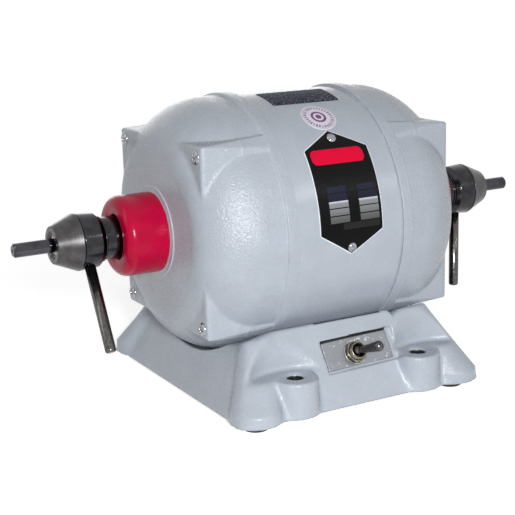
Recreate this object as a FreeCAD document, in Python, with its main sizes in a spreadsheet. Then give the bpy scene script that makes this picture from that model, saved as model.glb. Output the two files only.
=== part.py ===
import FreeCAD, Part

import math
import os

import Sketcher

# Dental polishing lathe: a double-ended motor on a cast base with a quick-change chuck at each end.
# X runs along the spindle to the right, the switch side faces -Y and Z is up.
# The origin is under the middle of the machine, level with the bottom of the rubber feet.

# Every driving size in millimetres, a count or degrees
SIZES = {
    # whole machine
    "overrun": 2.0, "seat_gap": 0.1, "run_gap": 0.3,
    # base casting
    "foot_height": 5.0, "base_half_x": 94.3, "base_half_y": 104.5, "base_rise": 51.5,
    "base_top_half_x": 70.8, "base_top_half_y": 74.4, "base_wall": 6.0, "base_cavity_rise": 38.0,
    "saddle_floor": 25.0, "saddle_half_x": 39.6, "saddle_wall": 8.0, "ear_gap": 1.6, "dome_gap": 2.5,
    "dome_room_x": 80.0, "dome_room_drop": 2.1,
    "corner_x": 79.3, "corner_y": 94.0, "corner_radius": 17.0, "corner_rise": 8.0,
    "corner_top_radius": 8.0, "corner_screw_depth": 12.0,
    "bench_x": 49.5, "bench_y": 94.2, "bench_hole_radius": 5.5, "bench_rim_radius": 8.3,
    "bench_rim_depth": 1.5, "bench_pad_radius": 15.5, "bench_pad_rise": 25.8,
    "scoop_x": 56.0, "scoop_y": 121.0, "scoop_radius": 41.5,
    # bottom cover and feet
    "cover_half_x": 88.0, "cover_half_y": 98.2, "cover_plate": 1.5, "cover_bolt_radius": 6.5,
    "foot_x": 79.0, "foot_y": 92.5, "foot_radius": 9.0, "foot_top_radius": 8.2,
    "foot_recess_radius": 4.6, "foot_recess_depth": 2.6, "foot_screw_radius": 2.0,
    "foot_screw_head": 3.8, "foot_screw_head_rise": 2.2, "foot_screw_length": 11.0,
    # cradle bolts from the base into the motor
    "cradle_x": 26.0, "cradle_y": 30.0, "cradle_radius": 3.0, "cradle_head_radius": 5.5,
    "cradle_head_rise": 3.5, "cradle_bite": 4.0,
    # cord inlet at the back
    "inlet_slope": 22.0, "inlet_radius": 7.5, "inlet_bore": 4.2,
    "inlet_flange": 10.5, "inlet_lip": 2.2,
    # motor body
    "band_radius": 88.5, "band_wall": 3.0, "band_half_x": 40.7,
    "ring_rise": 1.9, "ring_near_x": 41.2, "ring_edge": 0.7, "ring_far_x": 48.9,
    "dome_root_x": 50.2, "dome_root_rise": 0.3, "dome_one_x": 63.9, "dome_one_drop": 0.3,
    "dome_arc_one": 50.0, "dome_two_x": 94.0, "dome_two_drop": 14.7, "dome_arc_two": 28.1,
    "dome_three_x": 102.2, "dome_three_drop": 33.1, "dome_face_x": 103.5,
    "dome_lip_radius": 31.5, "dome_lip": 0.8, "bell_wall": 5.0,
    "ear_face_x": 97.5, "ear_inset": 24.4, "ear_rim_inset": 20.2,
    "hub_radius": 22.5, "hub_x": 124.0, "hub_bore": 13.0,
    "bell_screw_inset": 7.89, "bell_screw_radius": 2.5, "bell_screw_head": 4.75,
    "bell_screw_head_rise": 2.8, "bell_screw_inner_x": 20.0, "bell_screw_slot": 1.2,
    "bell_screw_slot_length": 6.0, "bell_screw_slot_depth": 1.4,
    # stator, rotor and fan
    "stator_bore": 45.0, "stator_half_x": 35.0,
    "winding_length": 17.0, "winding_inner": 50.0, "winding_inset": 14.5, "winding_round": 6.0,
    "rotor_radius": 44.5, "shaft_radius": 10.0, "shaft_seat_radius": 8.5,
    "shaft_shoulder_x": 108.0, "shaft_end_x": 138.0,
    "fan_x": 62.0, "fan_plate": 2.0, "fan_radius": 60.0, "fan_hub_radius": 16.0,
    "fan_hub_length": 14.0, "fan_blade_inner": 26.0, "fan_blade_height": 12.0,
    "fan_blade_thick": 1.6, "fan_blades": 10,
    # ball bearings
    "bearing_width": 12.0, "bearing_radius": 20.0, "outer_ring_bore": 16.8,
    "inner_ring_radius": 11.2, "ball_radius": 2.75, "ball_pitch": 14.0, "balls": 9,
    "circlip_thick": 1.2, "circlip_bore": 17.8,
    # red bearing caps
    "cap_face_x": 134.0, "cap_radius": 27.6, "cap_round": 7.6,
    "cap_dish": 3.0, "cap_hole": 15.3, "cap_floor_x": 126.5,
    # chucks
    "chuck_rear_radius": 14.5, "chuck_rim_x": 143.3,
    "chuck_rim_radius": 15.5, "chuck_step_x": 144.5, "chuck_neck_radius": 10.5,
    "nose_x": 160.7, "nose_radius": 19.3, "nose_tip_x": 177.3, "nose_tip_radius": 12.5,
    "nose_chamfer": 0.9, "collet_bore": 7.1,
    "collar_rear_radius": 15.4, "collar_rear_round_x": 148.0, "collar_radius": 18.4,
    "bush_radius": 12.5, "bush_gap": 0.08,
    "lever_x": 154.8, "lever_radius": 3.75, "lever_reach": 77.5, "lever_seat": 13.5,
    "lever_round": 1.6, "lever_left_swing": 28.8,
    "collet_radius": 7.0, "collet_rear_x": 143.0, "collet_front_x": 175.5,
    "collet_slot": 0.8, "collet_slot_length": 14.0,
    "pin_radius": 4.76, "pin_grip_radius": 4.6, "pin_rear_x": 145.0, "pin_shoulder_x": 177.8,
    "pin_tip_x": 204.0, "pin_chamfer": 1.2,
    "pin_centre_radius": 1.3, "pin_centre_depth": 2.0,
    # plates and labels on the motor band
    "label_thick": 0.4, "label_glue": 0.05, "data_half_x": 25.0, "data_half_reach": 42.6,
    "data_shoulder": 28.9,
    "data_angle": 70.35, "rivet_radius": 3.4, "rivet_rise": 1.25,
    "rivet_top_angle": 46.3, "rivet_low_angle": 95.7,
    "round_angle": 33.3, "round_radius": 12.8,
    "top_left_x": 25.5, "top_right_x": 27.0, "top_angle": 13.55, "top_half_reach": 12.4,
    # toggle switch on the front slope
    "switch_x": 3.5, "switch_slope": 35.6, "slot_left": 25.0, "slot_right": 33.6,
    "slot_below": 11.1, "slot_above": 12.1, "slot_depth": 2.4,
    "plate_left": 24.3, "plate_right": 28.8, "plate_below": 9.2, "plate_above": 11.5,
    "plate_thick": 1.2, "bushing_radius": 5.95, "bushing_top": 4.8, "bushing_bore": 3.7,
    "bushing_mouth": 4.8, "washer_radius": 9.0, "washer_thick": 0.8, "nut_flats": 14.3,
    "nut_thick": 2.4, "switch_half_x": 14.0, "switch_half_up": 9.5, "switch_deep": 17.0,
    "bat_pivot": 2.6, "bat_ball": 3.5, "bat_neck": 2.7, "bat_tip": 3.7, "bat_length": 22.2,
    "bat_tilt": 20.0, "bat_heading": -26.2, "switch_turn": 1.2,
    # capacitor in the base
    "capacitor_y": 58.0, "capacitor_radius": 12.0, "capacitor_length": 62.0,
    "clamp_wall": 1.5, "clamp_width": 14.0,
}

doc = FreeCAD.newDocument("polishing_lathe")
sheet = doc.addObject("Spreadsheet::Sheet", "sizes")
V = FreeCAD.Vector
TURNED_RIGHT = FreeCAD.Rotation(V(0, 1, 0), 90)
NO_TURN = FreeCAD.Rotation()
pieces = []


class Size:
    """A length with its value and the sheet expression that it comes from."""

    def __init__(self, value, text):
        self.value = float(value)
        self.text = text

    def __add__(self, other):
        return Size(self.value + other.value, f"({self.text} + {other.text})")

    def __sub__(self, other):
        return Size(self.value - other.value, f"({self.text} - {other.text})")

    def __neg__(self):
        return Size(-self.value, f"(-1 * {self.text})")

    def __mul__(self, number):
        return Size(self.value * number, f"({self.text} * {number})")

    def __truediv__(self, number):
        return Size(self.value / number, f"({self.text} / {number})")


class Sizes:
    """All cells of the sheet by name."""


s = Sizes()
for row, (name, value) in enumerate(SIZES.items(), start=1):
    sheet.set(f"A{row}", name.replace("_", " "))
    sheet.set(f"B{row}", str(value))
    sheet.setAlias(f"B{row}", name)
    setattr(s, name, Size(value, f"sizes.{name}"))
ZERO = Size(0, "0")
CORNER_SHARE = math.sqrt(0.5)
HEXAGON_SHARE = 1 / math.sqrt(3)
doc.recompute()


def half_chord(radius, away):
    """How far a circle reaches on each side, at a distance from its centre."""
    reach = math.sqrt(radius.value ** 2 - away.value ** 2)
    return Size(reach, f"sqrt({radius.text} ^ 2 - {away.text} ^ 2)")


# Places and radii that follow from the sizes
s.spindle_height = s.foot_height + s.saddle_floor + s.band_radius
s.ring_radius = s.band_radius + s.ring_rise
s.dome_root_radius = s.band_radius + s.dome_root_rise
s.dome_one_radius = s.band_radius - s.dome_one_drop
s.dome_two_radius = s.band_radius - s.dome_two_drop
s.dome_three_radius = s.band_radius - s.dome_three_drop
s.dome_room_radius = s.band_radius - s.dome_room_drop
s.ear_half = s.band_radius - s.ear_inset
s.ear_rim_half = s.band_radius - s.ear_rim_inset
s.bell_screw_place = (s.band_radius - s.bell_screw_inset) * CORNER_SHARE
s.winding_outer = s.band_radius - s.winding_inset
s.cradle_seat = s.spindle_height - half_chord(s.band_radius + s.saddle_wall,
                                              s.cradle_y + s.cradle_head_radius)
s.cradle_top = s.spindle_height + s.cradle_bite - half_chord(s.band_radius - s.band_wall, s.cradle_y)


def bind(item, **sizes):
    """Bind properties of an object to sizes."""
    for name, size in sizes.items():
        item.setExpression(name, size.text)


def place(item, x=ZERO, y=ZERO, z=ZERO, turn=NO_TURN):
    """Put an object at a bound place, turned by a rotation."""
    item.Placement = FreeCAD.Placement(V(x.value, y.value, z.value), turn)
    for axis, size in zip("xyz", (x, y, z)):
        if size is not ZERO:
            item.setExpression(f"Placement.Base.{axis}", size.text)
    return item


def cylinder(name, radius, length, **where):
    """A cylinder that stands along its own Z."""
    item = doc.addObject("Part::Cylinder", name)
    bind(item, Radius=radius, Height=length)
    return place(item, **where)


def cone(name, low_radius, high_radius, length, **where):
    """A cone that stands along its own Z."""
    item = doc.addObject("Part::Cone", name)
    bind(item, Radius1=low_radius, Radius2=high_radius, Height=length)
    return place(item, **where)


def box(name, length, width, height, **where):
    """A box from its low corner."""
    item = doc.addObject("Part::Box", name)
    bind(item, Length=length, Width=width, Height=height)
    return place(item, **where)


def cut(name, base, tools):
    """A shape with tools taken off it, one after another, where a list goes as one set."""
    for number, tool in enumerate(tools):
        step = doc.addObject("Part::Cut", f"{name}_step_{number}")
        step.Base = base
        step.Tool = group(f"{name}_set_{number}", tool) if isinstance(tool, list) else tool
        base = step
    return base


def fuse(name, shapes):
    """Shapes joined into one solid."""
    item = doc.addObject("Part::MultiFuse", name)
    item.Shapes = shapes
    item.Refine = True
    return item


def common(name, shapes):
    """What shapes have in common."""
    item = doc.addObject("Part::MultiCommon", name)
    item.Shapes = shapes
    return item


def group(name, items):
    """Several equal solids kept as one piece."""
    item = doc.addObject("Part::Compound", name)
    item.Links = items
    return item


def keep(label, item):
    """Name a finished sub-part."""
    item.Label = label
    if item.Label != label:
        raise RuntimeError(f"{label} is the name of another object")
    pieces.append(item)
    return item


def short_arc(start, end, radius):
    """A short arc that bulges to the left of the way from start to end."""
    chord = end - start
    left = V(-chord.y, chord.x, 0).normalize()
    depth = math.sqrt(radius ** 2 - (chord.Length / 2) ** 2)
    centre = (start + end) * 0.5 - left * depth
    first = math.atan2(end.y - centre.y, end.x - centre.x)
    last = math.atan2(start.y - centre.y, start.x - centre.x)
    return Part.ArcOfCircle(Part.Circle(centre, V(0, 0, 1), radius), first, last)


def outline(body, name, plane, points):
    """A closed sketch through bound points, where a third entry makes an arc to the next point."""
    sketch = body.newObject("Sketcher::SketchObject", name)
    support = [item for item in body.Origin.OriginFeatures if item.Role == plane][0]
    sketch.AttachmentSupport = [(support, "")]
    sketch.MapMode = "FlatFace"
    spots = [V(point[0].value, point[1].value, 0) for point in points]
    ends = []
    for index, point in enumerate(points):
        start = spots[index]
        end = spots[(index + 1) % len(spots)]
        if len(point) == 2:
            sketch.addGeometry(Part.LineSegment(start, end))
        else:
            sketch.addGeometry(short_arc(start, end, point[2].value))
        near = sketch.Geometry[index].StartPoint.distanceToPoint(start)
        far = sketch.Geometry[index].StartPoint.distanceToPoint(end)
        ends.append((1, 2) if near < far else (2, 1))
    for index, point in enumerate(points):
        after = (index + 1) % len(points)
        joint = Sketcher.Constraint("Coincident", index, ends[index][1], after, ends[after][0])
        sketch.addConstraint(joint)
        for axis, kind, size in ((-2, "DistanceX", point[0]), (-1, "DistanceY", point[1])):
            if size is ZERO:
                on_axis = Sketcher.Constraint("PointOnObject", index, ends[index][0], axis)
                sketch.addConstraint(on_axis)
            else:
                rule = Sketcher.Constraint(kind, -1, 1, index, ends[index][0], size.value)
                number = sketch.addConstraint(rule)
                sketch.setExpression(f"Constraints[{number}]", size.text)
        if len(point) > 2:
            number = sketch.addConstraint(Sketcher.Constraint("Radius", index, point[2].value))
            sketch.setExpression(f"Constraints[{number}]", point[2].text)
    return sketch


def turned(name, points):
    """A body turned about its own X from an outline of places along and radii."""
    body = doc.addObject("PartDesign::Body", name)
    sketch = outline(body, name + "_outline", "XY_Plane", points)
    spin = body.newObject("PartDesign::Revolution", name + "_turned")
    spin.Profile = sketch
    spin.ReferenceAxis = (sketch, ["H_Axis"])
    spin.Angle = 360
    sketch.Visibility = False
    return body


def padded(name, points, length):
    """A body with an outline in its XY plane raised along Z."""
    body = doc.addObject("PartDesign::Body", name)
    sketch = outline(body, name + "_outline", "XY_Plane", points)
    pad = body.newObject("PartDesign::Pad", name + "_raised")
    pad.Profile = sketch
    bind(pad, Length=length)
    return body


def on_spindle(item, side, swing=0):
    """Put a piece on the spindle line, turned round for the left end and swung about the line."""
    half_turn = FreeCAD.Rotation(V(0, 0, 1), 0 if side > 0 else 180)
    swung = FreeCAD.Rotation(V(1, 0, 0), swing)
    return place(item, z=s.spindle_height, turn=half_turn.multiply(swung))


SIDES = (("right", 1), ("left", -1))
CORNERS = [(x_side, y_side) for x_side in (-1, 1) for y_side in (-1, 1)]
BASE_LOW = s.foot_height
SLOPE_TILT = math.atan2(SIZES["base_half_y"] - SIZES["base_top_half_y"], SIZES["base_rise"])
SLOPE_ACROSS_SHARE = round(math.sin(SLOPE_TILT), 6)
SLOPE_UP_SHARE = round(math.cos(SLOPE_TILT), 6)
FRONT_TURN = FreeCAD.Rotation(V(1, 0, 0), 90 - math.degrees(SLOPE_TILT))
BACK_TURN = FreeCAD.Rotation(V(0, 0, 1), 180).multiply(FRONT_TURN)
SWITCH_TURN = FRONT_TURN.multiply(FreeCAD.Rotation(V(0, 0, 1), SIZES["switch_turn"]))


def narrowed(low, top, rise):
    """The half size of the base at a height above its underside."""
    share = SIZES[rise] / SIZES["base_rise"]
    lost = low - top
    text = f"({low.text} - {lost.text} * {s.__dict__[rise].text} / sizes.base_rise)"
    return Size(low.value - lost.value * share, text)


def frustum(name, low_x, low_y, top_x, top_y, rise, low_z):
    """A block with a rectangular foot that narrows to a smaller top."""
    item = doc.addObject("Part::Wedge", name)
    bind(item, Ymin=ZERO, Ymax=rise)
    bind(item, Xmin=-low_x, Xmax=low_x, Zmin=-low_y, Zmax=low_y)
    bind(item, X2min=-top_x, X2max=top_x, Z2min=-top_y, Z2max=top_y)
    return place(item, z=low_z, turn=FreeCAD.Rotation(V(1, 0, 0), 90))


def posts(name, radius, length, half_x, half_y, low_z):
    """Four upright cylinders, one in each quarter."""
    return [cylinder(f"{name}_{number}", radius, length, x=half_x * x_side, y=half_y * y_side, z=low_z)
            for number, (x_side, y_side) in enumerate(CORNERS)]


def level_circle(name, radius, x, y, z, turn):
    """A level circle, turned so that it starts on the side the rotation leads to."""
    item = doc.addObject("Part::Circle", name)
    bind(item, Radius=radius)
    return place(item, x=x, y=y, z=z, turn=turn)


def leaning_post(name, low, top):
    """A solid that leads straight from one circle to another."""
    item = doc.addObject("Part::Loft", name)
    item.Sections = [low, top]
    item.Solid = True
    item.Ruled = True
    return item


def across_machine(name, radius, half_x):
    """A cylinder on the spindle line, centred on the machine."""
    return cylinder(name, radius, half_x * 2, x=-half_x, z=s.spindle_height, turn=TURNED_RIGHT)


def cradle_holes(name):
    """Holes for the cradle bolts in the saddle and the motor."""
    return posts(name, s.cradle_radius + s.seat_gap, s.cradle_top + s.run_gap - BASE_LOW,
                 s.cradle_x, s.cradle_y, BASE_LOW)


def base_cavity():
    """The hollow under the base, which stays clear of the saddle and the scoops."""
    top_x = narrowed(s.base_half_x, s.base_top_half_x, "base_cavity_rise") - s.base_wall
    top_y = narrowed(s.base_half_y, s.base_top_half_y, "base_cavity_rise") - s.base_wall
    hollow = frustum("base_hollow", s.base_half_x - s.base_wall, s.base_half_y - s.base_wall,
                     top_x, top_y, s.base_cavity_rise, BASE_LOW)
    shell = across_machine("saddle_shell", s.band_radius + s.saddle_wall, s.base_half_x)
    keepers = posts("scoop_shell", s.scoop_radius + s.base_wall, s.base_rise,
                    s.scoop_x, s.scoop_y, BASE_LOW + s.bench_pad_rise - s.base_wall)
    return cut("base_cavity", hollow, [shell, keepers])


def bell_clearance(side):
    """The room that the base leaves round one end bell and its ears."""
    name, sign = side
    reach = s.dome_gap * CORNER_SHARE
    dome = turned(f"dome_room_{name}", [
        (s.saddle_half_x, ZERO),
        (s.saddle_half_x, s.ring_radius + s.ear_gap),
        (s.dome_one_x, s.ring_radius + s.ear_gap),
        (s.dome_room_x, s.dome_room_radius),
        (s.dome_two_x + reach, s.dome_two_radius + reach),
        (s.base_half_x + s.overrun, s.dome_two_radius),
        (s.base_half_x + s.overrun, ZERO),
    ])
    half = s.ear_rim_half + s.ear_gap
    length = s.base_half_x + s.overrun - s.saddle_half_x
    block = box(f"ear_room_block_{name}", length, half * 2, half,
                x=s.saddle_half_x, y=-half, z=-half)
    room = cylinder(f"ear_room_round_{name}", s.ring_radius + s.ear_gap, length,
                    x=s.saddle_half_x, turn=TURNED_RIGHT)
    ears = common(f"ear_room_{name}", [block, room])
    return on_spindle(dome, sign), on_spindle(ears, sign)


def base_casting():
    """The hollow cast base with foot corners, bench pads and the saddle for the motor."""
    outer = frustum("base_outer", s.base_half_x, s.base_half_y, s.base_top_half_x,
                    s.base_top_half_y, s.base_rise, BASE_LOW)
    hollowed = cut("base_hollowed", outer, [base_cavity()])
    corners = posts("base_corner", s.corner_radius, s.corner_rise, s.corner_x, s.corner_y, BASE_LOW)
    for number, (x_side, y_side) in enumerate(CORNERS):
        inward = FreeCAD.Rotation(V(1, 0, 0), V(-x_side, -y_side, 0))
        low = level_circle(f"corner_low_{number}", s.corner_radius, s.corner_x * x_side,
                           s.corner_y * y_side, BASE_LOW + s.corner_rise, inward)
        top = level_circle(f"corner_top_{number}", s.corner_top_radius,
                           (s.base_top_half_x - s.corner_top_radius) * x_side,
                           (s.base_top_half_y - s.corner_top_radius) * y_side,
                           BASE_LOW + s.base_rise, inward)
        corners.append(leaning_post(f"base_corner_top_{number}", low, top))
    pads = posts("bench_pad", s.bench_pad_radius, s.bench_pad_rise, s.bench_x, s.bench_y, BASE_LOW)
    whole = fuse("base_whole", [hollowed] + corners + pads)
    tools = [across_machine("saddle_seat", s.band_radius, s.base_half_x)]
    for side in SIDES:
        tools.extend(bell_clearance(side))
    tools.append(posts("scoop", s.scoop_radius, s.base_rise, s.scoop_x, s.scoop_y,
                       BASE_LOW + s.bench_pad_rise))
    tools.append(posts("bench_hole", s.bench_hole_radius, s.base_rise, s.bench_x, s.bench_y, BASE_LOW))
    rims = []
    for number, (x_side, y_side) in enumerate(CORNERS):
        rims.append(cone(f"bench_rim_{number}", s.bench_hole_radius, s.bench_rim_radius,
                         s.bench_rim_depth, x=s.bench_x * x_side, y=s.bench_y * y_side,
                         z=BASE_LOW + s.bench_pad_rise - s.bench_rim_depth))
    tools.append(rims)
    tools.append(posts("foot_screw_hole", s.foot_screw_radius, s.corner_screw_depth,
                       s.foot_x, s.foot_y, BASE_LOW))
    tools.append(cradle_holes("cradle_hole"))
    tools.append(posts("cradle_spot", s.cradle_head_radius + s.run_gap, s.cradle_seat - BASE_LOW,
                       s.cradle_x, s.cradle_y, BASE_LOW))
    tools.append(cover_room())
    tools.append(slope_cylinder("inlet_hole", s.inlet_radius, ZERO, s.inlet_slope, BACK_TURN, 1))
    tools.append(slope_cylinder("switch_hole", s.bushing_radius + s.seat_gap, s.switch_x,
                                s.switch_slope, SWITCH_TURN, -1))
    tools.append(slope_box("switch_slot", -s.slot_left, s.slot_right, -s.slot_below,
                           s.slot_above, -s.slot_depth, s.overrun))
    inner_face = -(s.base_wall * SLOPE_UP_SHARE)
    tools.append(slope_box("switch_room", -s.switch_half_x - s.run_gap, s.switch_half_x + s.run_gap,
                           -s.switch_half_up - s.run_gap, s.switch_half_up + s.run_gap,
                           inner_face - s.switch_deep - s.run_gap, inner_face))
    keep("base_casting", cut("base_casting", whole, tools))


def cover_room():
    """The shallow recess in the underside that takes the cover."""
    half_x = s.cover_half_x + s.run_gap
    half_y = s.cover_half_y + s.run_gap
    depth = s.cover_plate + s.overrun
    return box("cover_room", half_x * 2, half_y * 2, depth, x=-half_x, y=-half_y,
               z=BASE_LOW - s.overrun)


def slope_place(item, x, slope, turn, y_sign):
    """Put an object on the front or back slope of the base, its Z pointing outwards."""
    y = (s.base_half_y - slope * SLOPE_ACROSS_SHARE) * y_sign
    return place(item, x=x, y=y, z=BASE_LOW + slope * SLOPE_UP_SHARE, turn=turn)


def slope_cylinder(name, radius, x, slope, turn, y_sign):
    """A hole through the wall of a slope."""
    depth = s.base_wall * 2
    drill = cylinder(f"{name}_drill", radius, depth + s.overrun, z=-depth)
    return slope_place(group(name, [drill]), x, slope, turn, y_sign)


def slope_box(name, left, right, low, high, deep, out):
    """A block on the front slope about the middle of the switch."""
    block = box(f"{name}_block", right - left, high - low, out - deep, x=left, y=low, z=deep)
    return slope_place(group(name, [block]), s.switch_x, s.switch_slope, SWITCH_TURN, -1)


def bottom_cover():
    """The sheet that closes the underside of the base."""
    plate = box("cover_sheet", s.cover_half_x * 2, s.cover_half_y * 2, s.cover_plate,
                x=-s.cover_half_x, y=-s.cover_half_y, z=BASE_LOW)
    holes = posts("cover_bench_hole", s.cover_bolt_radius, s.cover_plate, s.bench_x, s.bench_y,
                  BASE_LOW)
    holes += posts("cover_screw_hole", s.foot_screw_radius + s.seat_gap, s.cover_plate,
                   s.foot_x, s.foot_y, BASE_LOW)
    keep("bottom_cover", cut("bottom_cover", plate, [holes]))


def rubber_feet():
    """Four rubber feet, each with a recess for its screw."""
    feet = []
    for number, (x_side, y_side) in enumerate(CORNERS):
        x = s.foot_x * x_side
        y = s.foot_y * y_side
        body = cone(f"foot_body_{number}", s.foot_top_radius, s.foot_radius, s.foot_height, x=x, y=y)
        recess = cylinder(f"foot_recess_{number}", s.foot_recess_radius, s.foot_recess_depth, x=x, y=y)
        hole = cylinder(f"foot_hole_{number}", s.foot_screw_radius + s.seat_gap, s.foot_height, x=x, y=y)
        feet.append(cut(f"foot_{number}", body, [recess, hole]))
    keep("rubber_feet", group("rubber_feet", feet))


def foot_screws():
    """The screws that hold the feet and the cover."""
    screws = []
    low = s.foot_recess_depth - s.foot_screw_head_rise
    for number, (x_side, y_side) in enumerate(CORNERS):
        x = s.foot_x * x_side
        y = s.foot_y * y_side
        head = cylinder(f"foot_screw_head_{number}", s.foot_screw_head, s.foot_screw_head_rise,
                        x=x, y=y, z=low)
        shank = cylinder(f"foot_screw_shank_{number}", s.foot_screw_radius, s.foot_screw_length,
                         x=x, y=y, z=s.foot_recess_depth)
        screws.append(fuse(f"foot_screw_{number}", [head, shank]))
    keep("foot_screws", group("foot_screws", screws))


def cradle_bolts():
    """Four bolts from inside the base up through the saddle into the motor."""
    bolts = []
    for number, (x_side, y_side) in enumerate(CORNERS):
        x = s.cradle_x * x_side
        y = s.cradle_y * y_side
        head = cylinder(f"cradle_head_{number}", s.cradle_head_radius, s.cradle_head_rise,
                        x=x, y=y, z=s.cradle_seat - s.cradle_head_rise)
        shank = cylinder(f"cradle_shank_{number}", s.cradle_radius, s.cradle_top - s.cradle_seat,
                         x=x, y=y, z=s.cradle_seat)
        bolts.append(fuse(f"cradle_bolt_{number}", [head, shank]))
    keep("cradle_bolts", group("cradle_bolts", bolts))


def cord_grommet():
    """The rubber bush in the back wall where the supply cord enters."""
    wall = s.base_wall * SLOPE_UP_SHARE
    ring = turned("inlet_ring", [
        (-wall - s.inlet_lip, s.inlet_bore),
        (s.inlet_lip, s.inlet_bore),
        (s.inlet_lip, s.inlet_flange - s.inlet_lip / 2),
        (s.inlet_lip / 2, s.inlet_flange),
        (ZERO, s.inlet_flange),
        (ZERO, s.inlet_radius),
        (-wall, s.inlet_radius),
        (-wall, s.inlet_flange - s.inlet_lip / 2),
        (-wall - s.inlet_lip, s.inlet_flange - s.inlet_lip / 2),
    ])
    outward = BACK_TURN.multiply(FreeCAD.Rotation(V(0, 1, 0), -90))
    slope_place(ring, ZERO, s.inlet_slope, outward, 1)
    keep("cord_grommet", ring)


def along_spindle(name, radius, start, end, **where):
    """A cylinder along the spindle between two places."""
    return cylinder(name, radius, end - start, x=start, turn=TURNED_RIGHT, **where)


def motor_band():
    """The round steel shell between the end bells."""
    shell = across_machine("band_shell", s.band_radius, s.band_half_x)
    inside = across_machine("band_inside", s.band_radius - s.band_wall, s.band_half_x + s.overrun)
    keep("motor_band", cut("motor_band", shell, [inside, cradle_holes("band_cradle_hole")]))


def bell_hollow(name):
    """The inside of an end bell, which follows its dome at the wall's depth."""
    reach = s.bell_wall * CORNER_SHARE
    return turned(f"bell_hollow_{name}", [
        (s.band_half_x - s.overrun, ZERO),
        (s.band_half_x - s.overrun, s.band_radius - s.bell_wall),
        (s.dome_one_x, s.dome_one_radius - s.bell_wall, s.dome_arc_one - s.bell_wall),
        (s.dome_two_x - reach, s.dome_two_radius - reach, s.dome_arc_two - s.bell_wall),
        (s.dome_three_x - s.bell_wall, s.dome_three_radius),
        (s.dome_face_x - s.bell_wall, s.dome_lip_radius),
        (s.dome_face_x - s.bell_wall, ZERO),
    ])


def bell_ears(name):
    """The four square corners that stand out of the dome."""
    block = doc.addObject("Part::Wedge", f"ear_block_{name}")
    bind(block, Ymin=ZERO, Ymax=s.ear_face_x - s.ring_near_x)
    bind(block, Xmin=-s.ear_rim_half, Xmax=s.ear_rim_half, Zmin=-s.ear_rim_half, Zmax=s.ear_rim_half)
    bind(block, X2min=-s.ear_half, X2max=s.ear_half, Z2min=-s.ear_half, Z2max=s.ear_half)
    place(block, x=s.ring_near_x, turn=FreeCAD.Rotation(V(0, 0, 1), -90))
    limit = along_spindle(f"ear_limit_{name}", s.ring_radius, s.ring_near_x, s.ear_face_x)
    return common(f"ears_{name}", [block, limit])


def bell_corners(name, radius, start, end):
    """Four cylinders along the spindle at the places of the bell screws."""
    return [along_spindle(f"{name}_{number}", radius, start, end,
                          y=s.bell_screw_place * y_side, z=s.bell_screw_place * z_side)
            for number, (y_side, z_side) in enumerate(CORNERS)]


def end_bell(side):
    """A cast end bell with a domed face, four ears and the bearing hub."""
    name, sign = side
    lip_x = s.dome_face_x + s.dome_lip
    dome = turned(f"bell_dome_{name}", [
        (s.band_half_x, ZERO),
        (s.band_half_x, s.band_radius),
        (s.ring_near_x, s.band_radius),
        (s.ring_near_x, s.ring_radius - s.ring_edge),
        (s.ring_near_x + s.ring_edge, s.ring_radius),
        (s.ring_far_x, s.ring_radius),
        (s.dome_root_x, s.dome_root_radius),
        (s.dome_one_x, s.dome_one_radius, s.dome_arc_one),
        (s.dome_two_x, s.dome_two_radius, s.dome_arc_two),
        (s.dome_three_x, s.dome_three_radius),
        (s.dome_face_x, s.dome_lip_radius),
        (lip_x, s.dome_lip_radius),
        (lip_x, s.hub_radius),
        (s.hub_x, s.hub_radius),
        (s.hub_x, ZERO),
    ])
    whole = fuse(f"bell_whole_{name}", [dome, bell_ears(name)])
    tools = [bell_hollow(name)]
    tools.append(along_spindle(f"bell_bore_{name}", s.hub_bore, s.band_half_x, s.hub_x))
    tools.append(along_spindle(f"bell_seat_{name}", s.bearing_radius, s.shaft_shoulder_x,
                               s.hub_x + s.overrun))
    tools.append(bell_corners(f"bell_screw_hole_{name}", s.bell_screw_radius + s.seat_gap,
                              s.band_half_x - s.overrun, s.ear_face_x + s.overrun))
    keep(f"end_bell_{name}", on_spindle(cut(f"end_bell_{name}", whole, tools), sign))


def bell_screws(side):
    """Four screws that draw one end bell onto the stator, with crossed slots in their heads."""
    name, sign = side
    top = s.ear_face_x + s.bell_screw_head_rise
    shanks = bell_corners(f"bell_shank_{name}", s.bell_screw_radius, s.bell_screw_inner_x, s.ear_face_x)
    heads = bell_corners(f"bell_head_{name}", s.bell_screw_head, s.ear_face_x, top)
    screws = []
    for number, (y_side, z_side) in enumerate(CORNERS):
        y = s.bell_screw_place * y_side
        z = s.bell_screw_place * z_side
        slots = []
        for way, (wide, high) in enumerate(((s.bell_screw_slot, s.bell_screw_slot_length),
                                            (s.bell_screw_slot_length, s.bell_screw_slot))):
            slots.append(box(f"bell_slot_{name}_{number}_{way}", s.bell_screw_slot_depth, wide, high,
                             x=top - s.bell_screw_slot_depth, y=y - wide / 2, z=z - high / 2))
        screw = fuse(f"bell_screw_{name}_{number}", [shanks[number], heads[number]])
        screws.append(cut(f"bell_screw_cut_{name}_{number}", screw, slots))
    keep(f"bell_screws_{name}", on_spindle(group(f"bell_screws_{name}", screws), sign))


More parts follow.
